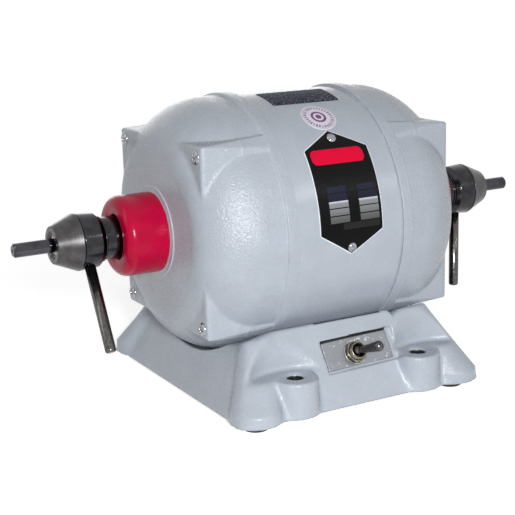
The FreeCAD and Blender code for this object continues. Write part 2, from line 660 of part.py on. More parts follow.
def stator():
    """The laminated stator and its end windings."""
    core = across_machine("stator_stack", s.band_radius - s.band_wall, s.stator_half_x)
    bore = across_machine("stator_bore", s.stator_bore, s.stator_half_x + s.overrun)
    holes = bell_corners("stator_screw_hole", s.bell_screw_radius + s.seat_gap,
                         -s.stator_half_x - s.overrun, s.stator_half_x + s.overrun)
    drilled = place(group("stator_screw_holes", holes), z=s.spindle_height)
    tools = [bore, drilled, cradle_holes("stator_cradle_hole")]
    keep("stator_core", cut("stator_core", core, tools))
    for name, sign in SIDES:
        end = s.stator_half_x + s.winding_length
        ring = turned(f"winding_{name}", [
            (s.stator_half_x, s.winding_inner),
            (end - s.winding_round, s.winding_inner),
            (end, s.winding_inner + s.winding_round),
            (end, s.winding_outer - s.winding_round),
            (end - s.winding_round, s.winding_outer),
            (s.stator_half_x, s.winding_outer),
        ])
        keep(f"winding_{name}", on_spindle(ring, sign))


def rotor():
    """The rotor, the spindle shaft and the cooling fan."""
    stack = across_machine("rotor_stack", s.rotor_radius, s.stator_half_x)
    bore = across_machine("rotor_bore", s.shaft_radius, s.stator_half_x + s.overrun)
    keep("rotor_core", cut("rotor_core", stack, [bore]))
    middle = across_machine("shaft_middle", s.shaft_radius, s.shaft_shoulder_x)
    ends = across_machine("shaft_ends", s.shaft_seat_radius, s.shaft_end_x)
    keep("spindle_shaft", fuse("spindle_shaft", [middle, ends]))
    plate = along_spindle("fan_plate", s.fan_radius, s.fan_x, s.fan_x + s.fan_plate)
    hub = along_spindle("fan_hub", s.fan_hub_radius, s.fan_x, s.fan_x + s.fan_hub_length)
    blades = []
    count = int(SIZES["fan_blades"])
    for number in range(count):
        blade = box(f"fan_blade_box_{number}", s.fan_blade_height, s.fan_blade_thick,
                    s.fan_radius - s.fan_blade_inner, x=s.fan_x, y=-s.fan_blade_thick / 2,
                    z=s.fan_blade_inner)
        swing = FreeCAD.Rotation(V(1, 0, 0), 360 * number / count)
        blades.append(place(group(f"fan_blade_{number}", [blade]), turn=swing))
    wheel = fuse("fan_wheel", [plate, hub] + blades)
    fan_bore = along_spindle("fan_bore", s.shaft_radius, s.fan_x - s.overrun,
                             s.fan_x + s.fan_hub_length + s.overrun)
    keep("cooling_fan", on_spindle(cut("cooling_fan", wheel, [fan_bore]), -1))


def ring_between(label, start, end, inner, outer, sign):
    """A plain ring on the spindle line."""
    ring = turned(label, [(start, inner), (end, inner), (end, outer), (start, outer)])
    keep(label, on_spindle(ring, sign))


def bearing(side):
    """A ball bearing with its retaining ring."""
    name, sign = side
    start = s.shaft_shoulder_x
    end = start + s.bearing_width
    ring_between(f"outer_ring_{name}", start, end, s.outer_ring_bore, s.bearing_radius, sign)
    ring_between(f"inner_ring_{name}", start, end, s.shaft_seat_radius, s.inner_ring_radius, sign)
    ring_between(f"circlip_{name}", end, end + s.circlip_thick, s.circlip_bore, s.bearing_radius, sign)
    balls = []
    count = int(SIZES["balls"])
    for number in range(count):
        ball = doc.addObject("Part::Sphere", f"ball_round_{name}_{number}")
        bind(ball, Radius=s.ball_radius)
        place(ball, x=start + s.bearing_width / 2, z=s.ball_pitch)
        swing = FreeCAD.Rotation(V(1, 0, 0), 360 * number / count)
        balls.append(place(group(f"ball_{name}_{number}", [ball]), turn=swing))
    keep(f"bearing_balls_{name}", on_spindle(group(f"bearing_balls_{name}", balls), sign))


def bearing_cap(side):
    """The red cap over the bearing hub."""
    name, sign = side
    base = s.dome_face_x + s.dome_lip
    cap = turned(f"bearing_cap_{name}", [
        (base, s.cap_radius),
        (s.cap_face_x - s.cap_round, s.cap_radius, s.cap_round),
        (s.cap_face_x, s.cap_radius - s.cap_round),
        (s.cap_face_x - s.cap_dish, s.cap_hole),
        (s.cap_floor_x, s.cap_hole),
        (s.cap_floor_x, s.hub_radius),
        (base, s.hub_radius),
    ])
    keep(f"bearing_cap_{name}", on_spindle(cap, sign))


def chuck(side):
    """The chuck that turns with the spindle: its body, cone nose, collet and mandrel pin."""
    name, sign = side
    rear = s.shaft_shoulder_x + s.bearing_width
    shaft_room = s.shaft_end_x + s.run_gap
    body = turned(f"chuck_body_{name}", [
        (rear, s.shaft_seat_radius),
        (shaft_room, s.shaft_seat_radius),
        (shaft_room, s.collet_bore),
        (s.nose_x, s.collet_bore),
        (s.nose_x, s.chuck_neck_radius),
        (s.chuck_step_x, s.chuck_neck_radius),
        (s.chuck_step_x, s.chuck_rim_radius),
        (s.chuck_rim_x, s.chuck_rim_radius),
        (s.chuck_rim_x, s.chuck_rear_radius),
        (rear, s.chuck_rear_radius),
    ])
    keep(f"chuck_body_{name}", on_spindle(body, sign))
    nose = turned(f"chuck_nose_{name}", [
        (s.nose_x, s.collet_bore),
        (s.nose_tip_x, s.collet_bore),
        (s.nose_tip_x, s.nose_tip_radius - s.nose_chamfer),
        (s.nose_tip_x - s.nose_chamfer, s.nose_tip_radius),
        (s.nose_x, s.nose_radius),
    ])
    keep(f"chuck_nose_{name}", on_spindle(nose, sign))
    sleeve = turned(f"collet_sleeve_{name}", [
        (s.collet_rear_x, s.pin_grip_radius),
        (s.collet_front_x, s.pin_grip_radius),
        (s.collet_front_x, s.collet_radius),
        (s.collet_rear_x, s.collet_radius),
    ])
    slots = []
    for way, (wide, high) in enumerate(((s.collet_slot, s.collet_radius * 2),
                                        (s.collet_radius * 2, s.collet_slot))):
        slots.append(box(f"collet_slot_{name}_{way}", s.collet_slot_length, wide, high,
                         x=s.collet_front_x - s.collet_slot_length, y=-wide / 2, z=-high / 2))
    keep(f"collet_{name}", on_spindle(cut(f"collet_{name}", sleeve, slots), sign))
    pin = turned(f"mandrel_pin_{name}", [
        (s.pin_rear_x, ZERO),
        (s.pin_rear_x, s.pin_grip_radius),
        (s.pin_shoulder_x, s.pin_grip_radius),
        (s.pin_shoulder_x, s.pin_radius),
        (s.pin_tip_x - s.pin_chamfer, s.pin_radius),
        (s.pin_tip_x, s.pin_radius - s.pin_chamfer),
        (s.pin_tip_x, s.pin_centre_radius),
        (s.pin_tip_x - s.pin_centre_depth, ZERO),
    ])
    keep(f"mandrel_pin_{name}", on_spindle(pin, sign))


def chuck_lever(side, swing):
    """The collar that carries the lever, with its bush and the lever rod."""
    name, sign = side
    rear = s.chuck_step_x + s.run_gap
    front = s.nose_x - s.run_gap
    ring = turned(f"collar_ring_{name}", [
        (rear, s.bush_radius),
        (front, s.bush_radius),
        (front, s.nose_radius),
        (s.collar_rear_round_x, s.collar_radius),
        (rear, s.collar_rear_radius),
    ])
    downward = FreeCAD.Rotation(V(1, 0, 0), 180)
    drill = cylinder(f"collar_drill_{name}", s.lever_radius, s.nose_radius, x=s.lever_x,
                     z=-s.lever_seat, turn=downward)
    collar = cut(f"lever_collar_{name}", ring, [drill])
    keep(f"lever_collar_{name}", on_spindle(collar, sign, swing))
    bush = turned(f"lever_bush_{name}", [
        (rear, s.chuck_neck_radius + s.bush_gap),
        (front, s.chuck_neck_radius + s.bush_gap),
        (front, s.bush_radius),
        (rear, s.bush_radius),
    ])
    keep(f"lever_bush_{name}", on_spindle(bush, sign, swing))
    rod = turned(f"lever_stick_{name}", [
        (s.lever_seat, ZERO),
        (s.lever_seat, s.lever_radius),
        (s.lever_reach - s.lever_round, s.lever_radius, s.lever_round),
        (s.lever_reach, s.lever_radius - s.lever_round),
        (s.lever_reach, ZERO),
    ])
    place(rod, x=s.lever_x, turn=TURNED_RIGHT)
    keep(f"lever_rod_{name}", on_spindle(group(f"lever_rod_{name}", [rod]), sign, swing))


def label_sheet(name):
    """A thin sheet wrapped all round the motor band, to be trimmed."""
    inner = s.band_radius + s.label_glue
    sheet_outside = across_machine(f"{name}_outside", inner + s.label_thick, s.band_half_x)
    sheet_inside = across_machine(f"{name}_inside", inner, s.band_half_x + s.overrun)
    return cut(f"{name}_wrap", sheet_outside, [sheet_inside])


def label(name, stamp, angle):
    """A label on the band, cut by a stamp that stands out from the spindle line at an angle."""
    swing = FreeCAD.Rotation(V(1, 0, 0), angle)
    raised = place(group(f"{name}_stamp", [stamp]), z=s.spindle_height, turn=swing)
    keep(name, common(name, [label_sheet(name), raised]))


def band_labels():
    """The data plate with its rivets, the round label and the top label."""
    length = s.band_radius + s.overrun
    outline_points = [
        (ZERO, s.data_half_reach),
        (s.data_half_x, s.data_shoulder),
        (s.data_half_x, -s.data_shoulder),
        (ZERO, -s.data_half_reach),
        (-s.data_half_x, -s.data_shoulder),
        (-s.data_half_x, s.data_shoulder),
    ]
    label("data_plate", padded("data_plate_outline", outline_points, length), SIZES["data_angle"])
    label("round_label", cylinder("round_label_disc", s.round_radius, length), SIZES["round_angle"])
    top_block = box("top_label_block", s.top_left_x + s.top_right_x, s.top_half_reach * 2, length,
                    x=-s.top_left_x, y=-s.top_half_reach)
    label("top_label", top_block, SIZES["top_angle"])
    rivets = []
    for number, angle in enumerate((SIZES["rivet_top_angle"], SIZES["rivet_low_angle"])):
        rivet = cylinder(f"rivet_{number}", s.rivet_radius, s.rivet_rise,
                         z=s.band_radius + s.label_glue + s.label_thick)
        swing = FreeCAD.Rotation(V(1, 0, 0), angle)
        rivets.append(place(group(f"rivet_swung_{number}", [rivet]), z=s.spindle_height, turn=swing))
    keep("plate_rivets", group("plate_rivets", rivets))


def at_switch(label_name, item):
    """Keep a switch piece on the front slope."""
    keep(label_name, slope_place(item, s.switch_x, s.switch_slope, SWITCH_TURN, -1))


def toggle_switch():
    """The toggle switch on the front slope with its plate, washer, nut, bushing and bat."""
    inner_face = -(s.base_wall * SLOPE_UP_SHARE)
    wide = s.plate_left + s.plate_right
    plate = box("switch_sheet", wide, s.plate_below + s.plate_above, s.plate_thick,
                x=-s.plate_left, y=-s.plate_below, z=-s.slot_depth)
    plate_hole = cylinder("plate_hole", s.bushing_radius + s.seat_gap, s.overrun + s.slot_depth,
                          z=-s.slot_depth)
    at_switch("switch_plate", cut("switch_plate", plate, [plate_hole]))
    plate_top = s.plate_thick - s.slot_depth
    disc = cylinder("washer_disc", s.washer_radius, s.washer_thick, z=plate_top)
    disc_hole = cylinder("washer_hole", s.bushing_radius + s.seat_gap, s.washer_thick, z=plate_top)
    at_switch("switch_washer", cut("switch_washer", disc, [disc_hole]))
    hexagon = doc.addObject("Part::Prism", "nut_hexagon")
    hexagon.Polygon = 6
    bind(hexagon, Circumradius=s.nut_flats * HEXAGON_SHARE, Height=s.nut_thick)
    place(hexagon, z=plate_top + s.washer_thick)
    thread = cylinder("nut_hole", s.bushing_radius, s.nut_thick, z=plate_top + s.washer_thick)
    at_switch("switch_nut", cut("switch_nut", hexagon, [thread]))
    tube = cylinder("bushing_tube", s.bushing_radius, s.bushing_top - inner_face, z=inner_face)
    bore = cylinder("bushing_hole", s.bushing_bore, s.bushing_top - inner_face, z=inner_face)
    mouth = cone("bushing_flare", s.bushing_bore, s.bushing_mouth, s.bushing_top - s.bat_pivot,
                 z=s.bat_pivot)
    at_switch("switch_bushing", cut("switch_bushing", tube, [bore, mouth]))
    case = box("switch_case", s.switch_half_x * 2, s.switch_half_up * 2, s.switch_deep,
               x=-s.switch_half_x, y=-s.switch_half_up, z=inner_face - s.switch_deep)
    at_switch("switch_body", group("switch_body", [case]))
    ball = doc.addObject("Part::Sphere", "bat_ball_round")
    bind(ball, Radius=s.bat_ball)
    tip = doc.addObject("Part::Sphere", "bat_tip_round")
    bind(tip, Radius=s.bat_tip)
    place(tip, z=s.bat_length - s.bat_tip)
    stem = cone("bat_stem", s.bat_neck, s.bat_tip, s.bat_length - s.bat_tip)
    tilt = FreeCAD.Rotation(V(0, 1, 0), SIZES["bat_tilt"])
    heading = FreeCAD.Rotation(V(0, 0, 1), SIZES["bat_heading"])
    bat = fuse("bat_whole", [ball, stem, tip])
    tilted = place(group("bat_tilted", [bat]), z=s.bat_pivot, turn=heading.multiply(tilt))
    at_switch("switch_lever", group("switch_lever", [tilted]))


def capacitor():
    """The motor's capacitor, clamped to the cover inside the base."""
    floor = BASE_LOW + s.cover_plate
    middle = floor + s.clamp_wall + s.capacitor_radius
    can = cylinder("capacitor_can", s.capacitor_radius, s.capacitor_length,
                   x=-s.capacitor_length / 2, y=s.capacitor_y, z=middle, turn=TURNED_RIGHT)
    keep("capacitor", group("capacitor", [can]))
    outer = s.capacitor_radius + s.clamp_wall
    strap = cylinder("clamp_strap", outer, s.clamp_width, x=-s.clamp_width / 2, y=s.capacitor_y,
                     z=middle, turn=TURNED_RIGHT)
    foot = box("clamp_foot", s.clamp_width, s.capacitor_radius * 3, s.clamp_wall,
               x=-s.clamp_width / 2, y=s.capacitor_y - s.capacitor_radius * 1.5, z=floor)
    opening = cylinder("clamp_opening", s.capacitor_radius, s.clamp_width + s.overrun,
                       x=-(s.clamp_width + s.overrun) / 2, y=s.capacitor_y, z=middle, turn=TURNED_RIGHT)
    whole = fuse("clamp_whole", [strap, foot])
    keep("capacitor_clamp", cut("capacitor_clamp", whole, [opening]))


base_casting()
bottom_cover()
rubber_feet()
foot_screws()
cradle_bolts()
cord_grommet()
motor_band()
stator()
rotor()
band_labels()
toggle_switch()
capacitor()
for one_side in SIDES:
    end_bell(one_side)
    bell_screws(one_side)
    bearing(one_side)
    bearing_cap(one_side)
    chuck(one_side)
    chuck_lever(one_side, SIZES["lever_left_swing"] if one_side[1] < 0 else 0)

doc.recompute()
for item in doc.Objects:
    if "Invalid" in item.State or "Error" in item.State:
        raise RuntimeError(f"{item.Name} failed: {item.State}")
for piece in pieces:
    if piece.Shape.isNull() or not piece.Shape.isValid() or not piece.Shape.Solids:
        raise RuntimeError(f"{piece.Label} has no valid solid")

os.makedirs("parts", exist_ok=True)
for piece in pieces:
    piece.Shape.exportStep(f"parts/{piece.Label}.step")
    box_of = piece.Shape.BoundBox
    print(f"{piece.Label}: {len(piece.Shape.Solids)} solids, {piece.Shape.Volume:.0f} mm3, "
          f"x {box_of.XMin:.1f} {box_of.XMax:.1f} y {box_of.YMin:.1f} {box_of.YMax:.1f} "
          f"z {box_of.ZMin:.1f} {box_of.ZMax:.1f}")
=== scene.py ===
import math

import bmesh
import bpy
import numpy as np
from mathutils import Matrix, Vector


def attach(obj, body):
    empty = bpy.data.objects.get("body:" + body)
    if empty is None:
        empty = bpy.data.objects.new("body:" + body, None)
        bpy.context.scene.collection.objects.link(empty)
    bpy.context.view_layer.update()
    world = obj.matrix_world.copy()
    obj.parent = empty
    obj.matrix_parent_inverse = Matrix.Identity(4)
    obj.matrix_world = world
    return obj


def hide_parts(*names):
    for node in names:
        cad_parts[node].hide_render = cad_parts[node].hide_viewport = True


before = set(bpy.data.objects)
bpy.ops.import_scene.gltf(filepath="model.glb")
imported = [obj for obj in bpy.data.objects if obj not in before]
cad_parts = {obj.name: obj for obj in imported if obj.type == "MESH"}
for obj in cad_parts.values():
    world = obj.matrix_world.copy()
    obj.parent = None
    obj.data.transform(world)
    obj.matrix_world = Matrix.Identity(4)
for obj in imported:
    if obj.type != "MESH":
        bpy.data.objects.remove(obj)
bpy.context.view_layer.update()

# All lengths below are in millimetres; the spindle line is this high above the bench
MM = 0.001
SPINDLE = 118.5

# Camera fitted to the photograph
AZIMUTH, ELEVATION, ROLL = math.radians(-28.8954), math.radians(13.4605), math.radians(-1.6642)
DISTANCE, FOCAL_PIXELS, FRAME_PIXELS = 877.53, 1215.75, 515
LOOK_AT = Vector((-23.25, 0.0, SPINDLE - 29.88))


def make_camera():
    """The camera stands back from its target along azimuth and elevation and is then rolled."""
    back = Vector((math.sin(AZIMUTH) * math.cos(ELEVATION), -math.cos(AZIMUTH) * math.cos(ELEVATION),
                   math.sin(ELEVATION)))
    right = (-back).cross(Vector((0, 0, 1))).normalized()
    up = right.cross(-back)
    turned_right = right * math.cos(ROLL) + up * math.sin(ROLL)
    turned_up = up * math.cos(ROLL) - right * math.sin(ROLL)
    data = bpy.data.cameras.new("photo_camera")
    data.sensor_fit = "HORIZONTAL"
    data.sensor_width = 36.0
    data.lens = FOCAL_PIXELS * 36.0 / FRAME_PIXELS
    data.clip_start = 0.01
    camera = bpy.data.objects.new("photo_camera", data)
    bpy.context.scene.collection.objects.link(camera)
    turn = Matrix((turned_right, turned_up, back)).transposed().to_4x4()
    camera.matrix_world = Matrix.Translation((LOOK_AT + back * DISTANCE) * MM) @ turn
    bpy.context.scene.camera = camera


make_camera()


# Meshes from arrays

def weld(mesh):
    """Joins points that lie on each other, as at a pole."""
    work = bmesh.new()
    work.from_mesh(mesh)
    bmesh.ops.remove_doubles(work, verts=work.verts, dist=2e-7)
    bmesh.ops.dissolve_degenerate(work, edges=work.edges, dist=1e-8)
    work.to_mesh(mesh)
    work.free()


def faces_of_grid(rows, columns, wrap_rows, wrap_columns):
    """Four corners of every cell of a grid of points, going round where it wraps."""
    row = np.arange(rows if wrap_rows else rows - 1)
    column = np.arange(columns if wrap_columns else columns - 1)
    a, b = np.meshgrid(row, column, indexing="ij")
    next_a = (a + 1) % rows
    next_b = (b + 1) % columns
    corners = (a * columns + b, a * columns + next_b, next_a * columns + next_b, next_a * columns + b)
    return np.stack(corners, -1).reshape(-1, 4)


def circle(count):
    """Angles evenly once round."""
    return np.linspace(0, 2 * np.pi, count, endpoint=False)


def outward(points, faces):
    """Turns all faces round if the volume that they enclose comes out negative."""
    a, b, c, d = (points[faces[:, k]] for k in range(4))
    volume = np.einsum("ij,ij->i", a, np.cross(b, c)).sum() + np.einsum("ij,ij->i", a, np.cross(c, d)).sum()
    return faces[:, ::-1] if volume < 0 else faces


def build(name, parts, material, body, nodes):
    """One mesh object from several sets of points and four-cornered faces, given in millimetres."""
    points = np.concatenate([part[0] for part in parts]) * MM
    starts = np.cumsum([0] + [len(part[0]) for part in parts[:-1]])
    faces = np.concatenate([part[1] + start for part, start in zip(parts, starts)]).astype(np.int32)
    mesh = bpy.data.meshes.new(name)
    mesh.vertices.add(len(points))
    mesh.vertices.foreach_set("co", points.astype(np.float32).ravel())
    mesh.loops.add(len(faces) * 4)
    mesh.loops.foreach_set("vertex_index", faces.ravel())
    mesh.polygons.add(len(faces))
    mesh.polygons.foreach_set("loop_start", np.arange(0, len(faces) * 4, 4, dtype=np.int32))
    mesh.update(calc_edges=True)
    weld(mesh)
    mesh.polygons.foreach_set("use_smooth", np.ones(len(mesh.polygons), dtype=bool))
    mesh.update()
    piece = bpy.data.objects.new(name, mesh)
    bpy.context.scene.collection.objects.link(piece)
    mesh.materials.append(material)
    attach(piece, body)
    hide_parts(*nodes)


def rounded(corners, close=False):
    """A line through corners (x, r, radius), each rounded by an arc that touches both its sides."""
    spots = np.array([corner[:2] for corner in corners], float)
    count = len(spots)
    line = []
    for index, corner in enumerate(corners):
        radius = corner[2] if len(corner) > 2 else 0.0
        here = spots[index]
        if radius <= 0 or (not close and index in (0, count - 1)):
            line.append(here)
            continue
        to_last = spots[index - 1] - here
        to_next = spots[(index + 1) % count] - here
        to_last /= np.linalg.norm(to_last)
        to_next /= np.linalg.norm(to_next)
        half = math.acos(max(-1.0, min(1.0, float(to_last @ to_next)))) / 2
        back = radius / math.tan(half)
        middle = (to_last + to_next) / np.linalg.norm(to_last + to_next)
        centre = here + middle * radius / math.sin(half)
        steps = max(4, int(round((math.pi - 2 * half) * 6)) + 2)
        first = here + to_last * back - centre
        last = here + to_next * back - centre
        ratio = np.linspace(0, 1, steps)[:, None]
        angle = math.pi - 2 * half
        arc = (np.sin((1 - ratio) * angle) * first + np.sin(ratio * angle) * last) / math.sin(angle)
        line.extend(centre + arc)
        line.insert(len(line) - steps, centre + first + to_last * min(0.25 * radius, 0.2))
        line.append(centre + last + to_next * min(0.25 * radius, 0.2))
    return np.array(line)


def revolve(line, side=1, segments=160, close=True):
    """A line of places along the spindle and radii, carried round the spindle line."""
    around = circle(segments)
    x = np.repeat(line[:, 0][:, None] * side, segments, 1)
    y = line[:, 1][:, None] * np.sin(around)
    z = SPINDLE + line[:, 1][:, None] * np.cos(around)
    points = np.stack([x, y, z], -1).reshape(-1, 3)
    faces = faces_of_grid(len(line), segments, close, True)
    return points, outward(points, faces)


# Materials, with every pattern on object coordinates in metres

def add_node(tree, kind, inputs, output, **choices):
    """One output of a new node whose choices are made and whose inputs are set or linked."""
    node = tree.nodes.new("ShaderNode" + kind)
    for name, choice in choices.items():
        setattr(node, name, choice)
    for socket, value in inputs.items():
        if isinstance(value, bpy.types.NodeSocket):
            tree.links.new(value, node.inputs[socket])
        else:
            node.inputs[socket].default_value = value
    return node.outputs[output]


def opaque(color):
    """A colour of three numbers with its fourth; anything else as it is."""
    return (*color, 1.0) if isinstance(color, tuple) else color


class Finish:
    """A material's nodes: a principled shader and the object coordinates."""

    def __init__(self, name, color, metallic=0.0, roughness=0.5, **sockets):
        self.material = bpy.data.materials.new(name)
        self.material.use_nodes = True
        self.tree = self.material.node_tree
        self.shader = self.tree.nodes["Principled BSDF"]
        self.set("Base Color", color)
        self.set("Metallic", metallic)
        self.set("Roughness", roughness)
        for socket, value in sockets.items():
            self.set(socket.replace("_", " ").title().replace("Ior", "IOR"), value)
        self.place = add_node(self.tree, "TexCoord", {}, "Object")

    def set(self, socket, value):
        self.shader.inputs[socket].default_value = opaque(value)

    def stretched(self, scale):
        """The coordinates, stretched along each direction."""
        return add_node(self.tree, "Mapping", {"Scale": scale, "Vector": self.place}, "Vector")

    def noise(self, scale, detail=2.0, rough=0.5, place=None):
        """A cloudy pattern whose scale counts its lumps in a metre."""
        inputs = {"Scale": scale, "Detail": detail, "Roughness": rough, "Vector": place or self.place}
        return add_node(self.tree, "TexNoise", inputs, "Fac")

    def toward(self, origin, axis):
        """How far a place lies along a line from its origin, in millimetres."""
        inputs = {0: self.place, 1: [float(part) / MM for part in axis]}
        along = add_node(self.tree, "VectorMath", inputs, "Value", operation="DOT_PRODUCT")
        return self.math("SUBTRACT", along, float(np.dot(origin, axis)))

    def math(self, operation, *values):
        return add_node(self.tree, "Math", dict(enumerate(values)), 0, operation=operation)

    def between(self, value, low, high, out_low=0.0, out_high=1.0):
        """The value carried smoothly from one range to another."""
        inputs = {"Value": value, "From Min": low, "From Max": high, "To Min": out_low, "To Max": out_high}
        return add_node(self.tree, "MapRange", inputs, "Result", interpolation_type="SMOOTHSTEP")

    def blend(self, share, first, second):
        """A colour between two, where each is a colour or another node's output."""
        inputs = {0: share, 6: opaque(first), 7: opaque(second)}
        return add_node(self.tree, "Mix", inputs, 2, data_type="RGBA")

    def color(self, output):
        self.tree.links.new(output, self.shader.inputs["Base Color"])

    def rough(self, output):
        self.tree.links.new(output, self.shader.inputs["Roughness"])

    def bump(self, *layers):
        """Heights in millimetres with their sizes, one on another."""
        inputs = {"Strength": 1.0}
        for height, size in layers:
            inputs.update({"Distance": size * MM, "Height": height})
            inputs["Normal"] = add_node(self.tree, "Bump", inputs, "Normal")
        self.tree.links.new(inputs["Normal"], self.shader.inputs["Normal"])

    def axis(self, name):
        """One of the object's own coordinates, in metres."""
        return add_node(self.tree, "SeparateXYZ", {0: self.place}, name)


def rgb(red, green, blue):
    """A colour as it shows on screen, made linear."""
    shown = (red / 255, green / 255, blue / 255)
    return tuple(c / 12.92 if c <= 10 / 255 else ((c + 0.055) / 1.055) ** 2.4 for c in shown)


def bench_bore_shade(finish):
    """Painted shade: one inside the four bench bolt holes below their sunk rims, where their walls lie in
    shade, nought elsewhere.
    """
    squares = []
    for name, at in (("X", PAD_X), ("Y", PAD_Y)):
        off = finish.math("SUBTRACT", finish.math("ABSOLUTE", finish.axis(name)), at * MM)
        squares.append(finish.math("MULTIPLY", off, off))
    away = finish.math("SQRT", finish.math("ADD", *squares))
    pad_top = BASE_LOW + PAD_RISE
    deep = finish.between(finish.axis("Z"), (pad_top - 1.5) * MM, (pad_top - 2.1) * MM)
    inside = finish.between(away, (BENCH_HOLE + 0.8) * MM, (BENCH_HOLE + 0.4) * MM)
    return finish.math("MULTIPLY", deep, inside)


def slot_gap_shadow(finish):
    """Painted shadow: one in the gap between the switch's plate and the upper wall of its slot, where shadow
    falls, nought outside.
    """
    across, along, front = (finish.toward(SLOPE_ORIGIN, axis) for axis in SLOPE_AXES)
    share = finish.between(along, PLATE_ABOVE - 0.4, PLATE_ABOVE)
    share = finish.math("MULTIPLY", share, finish.between(front, -0.15, -0.5))
    share = finish.math("MULTIPLY", share, finish.between(front, -SLOT_DEPTH - 0.8, -SLOT_DEPTH - 0.5))
    share = finish.math("MULTIPLY", share, finish.between(across, PLATE_RIGHT + 0.4, PLATE_RIGHT))
    return finish.math("MULTIPLY", share, finish.between(across, -SLOT_LEFT - 0.4, -SLOT_LEFT - 0.1))


def enamel(name, shade, peel, pebble, painted_shades=()):
    """Blue-grey enamel whose fine orange peel and coarser pebble catch the light in specks, painted
    near-black as shade wherever one of the given shade masks is one.
    """
    finish = Finish(name, shade, 0.0, 0.3, specular_ior_level=0.45)
    fine = finish.noise(1500.0, 2.0, 0.5)
    coarse = finish.noise(680.0, 3.0, 0.55)
    wide = finish.noise(60.0, 4.0, 0.6)
    tint = finish.between(wide, 0.3, 0.75)
    color = finish.blend(tint, tuple(c * 0.93 for c in shade), shade)
    # painted shade: each mask darkens the enamel to near-black where shade falls
    for shade_mask in painted_shades:
        color = finish.blend(shade_mask(finish), color, rgb(34, 35, 38))
    finish.color(color)
    finish.rough(finish.between(fine, 0.25, 0.8, 0.16, 0.34))
    finish.bump((wide, pebble * 1.2), (coarse, pebble), (fine, peel))
    return finish.material


def turned_steel(name, shade, low, high, grooves, blotch=0.12):
    """Turned steel: fine rings along the spindle direction, a little uneven in tone."""
    finish = Finish(name, shade, 1.0, low)
    along = finish.stretched((2600.0, 30.0, 30.0))
    rings = finish.noise(1.0, 2.0, 0.6, along)
    patch = finish.noise(120.0, 3.0, 0.6)
    finish.rough(finish.between(rings, 0.3, 0.7, low, high))
    darker = tuple(c * (1.0 - blotch * 3.0) for c in shade)
    finish.color(finish.blend(finish.between(patch, 0.35, 0.7), darker, shade))
    finish.bump((rings, grooves))
    return finish.material


def speckled(name, shade, metallic, low, high, scale, size):
    """Metal or plastic with small specks in tone and a fine uneven face."""
    finish = Finish(name, shade, metallic, low)
    specks = finish.noise(scale, 4.0, 0.7)
    spread = finish.between(specks, 0.35, 0.65)
    finish.color(finish.blend(spread, tuple(c * 0.55 for c in shade), shade))
    finish.rough(finish.between(specks, 0.3, 0.7, low, high))
    finish.bump((specks, size))
    return finish.material


def worn_sheet(name, shade, bright):
    """Plated sheet, dull and fine-grained, with a few bright worn spots."""
    finish = Finish(name, shade, 1.0, 0.5)
    grain = finish.noise(900.0, 4.0, 0.7)
    spots = finish.between(finish.noise(300.0, 3.0, 0.65), 0.6, 0.7)
    dull = finish.blend(finish.between(grain, 0.35, 0.65), tuple(c * 0.72 for c in shade), shade)
    finish.color(finish.blend(spots, dull, bright))
    finish.rough(finish.between(grain, 0.3, 0.7, 0.36, 0.6))
    finish.bump((grain, 0.04))
    return finish.material


def glossy(name, shade, rough, size=0.02):
    """Smooth gloss with a barely uneven face."""
    finish = Finish(name, shade, 0.0, rough, specular_ior_level=0.16)
    wave = finish.noise(90.0, 3.0, 0.5)
    dust = finish.noise(1500.0, 2.0, 0.6)
    finish.color(finish.blend(finish.between(wave, 0.3, 0.7), tuple(c * 0.86 for c in shade), shade))
    finish.rough(finish.between(dust, 0.3, 0.75, rough, rough + 0.14))
    finish.bump((wave, size * 2), (dust, size))
    return finish.material


GREY = rgb(172, 179, 189)
cast_enamel = enamel("cast_enamel", GREY, 0.1, 0.5)
band_enamel = enamel("band_enamel", GREY, 0.05, 0.06)
red_gloss = glossy("red_gloss", rgb(182, 0, 54), 0.14)
dark_turned = turned_steel("dark_turned", rgb(68, 67, 69), 0.12, 0.2, 0.006)
nose_turned = turned_steel("nose_turned", rgb(88, 86, 87), 0.24, 0.34, 0.006)
pin_steel = turned_steel("pin_steel", rgb(80, 79, 84), 0.1, 0.18, 0.002)
bright_turned = turned_steel("bright_turned", rgb(176, 174, 172), 0.2, 0.36, 0.02)
lever_steel = speckled("lever_steel", rgb(104, 102, 100), 1.0, 0.14, 0.28, 700.0, 0.02)
bright_chrome = speckled("bright_chrome", rgb(168, 169, 174), 1.0, 0.1, 0.22, 500.0, 0.015)
zinc_sheet = speckled("zinc_sheet", rgb(168, 166, 168), 1.0, 0.34, 0.6, 900.0, 0.05)
worn_zinc = worn_sheet("worn_zinc", rgb(142, 145, 150), rgb(206, 206, 204))
nickel = turned_steel("nickel", rgb(150, 145, 132), 0.18, 0.3, 0.01)
bat_steel = speckled("bat_steel", rgb(96, 93, 92), 1.0, 0.16, 0.3, 600.0, 0.01)
black_rubber = speckled("black_rubber", rgb(26, 26, 27), 0.0, 0.62, 0.8, 1400.0, 0.05)
black_print = glossy("black_print", rgb(18, 18, 20), 0.38, 0.01)
bronze = turned_steel("bronze", rgb(160, 120, 66), 0.26, 0.4, 0.02)
copper = speckled("copper", rgb(150, 78, 40), 1.0, 0.3, 0.5, 600.0, 0.05)
laminated = turned_steel("laminated", rgb(110, 110, 112), 0.35, 0.55, 0.05)
cover_paint = speckled("cover_paint", rgb(52, 53, 56), 0.0, 0.42, 0.6, 1100.0, 0.04)
dark_plastic = speckled("dark_plastic", rgb(24, 24, 26), 0.0, 0.4, 0.55, 900.0, 0.02)
drawn_alloy = speckled("drawn_alloy", rgb(170, 171, 174), 1.0, 0.28, 0.42, 800.0, 0.02)

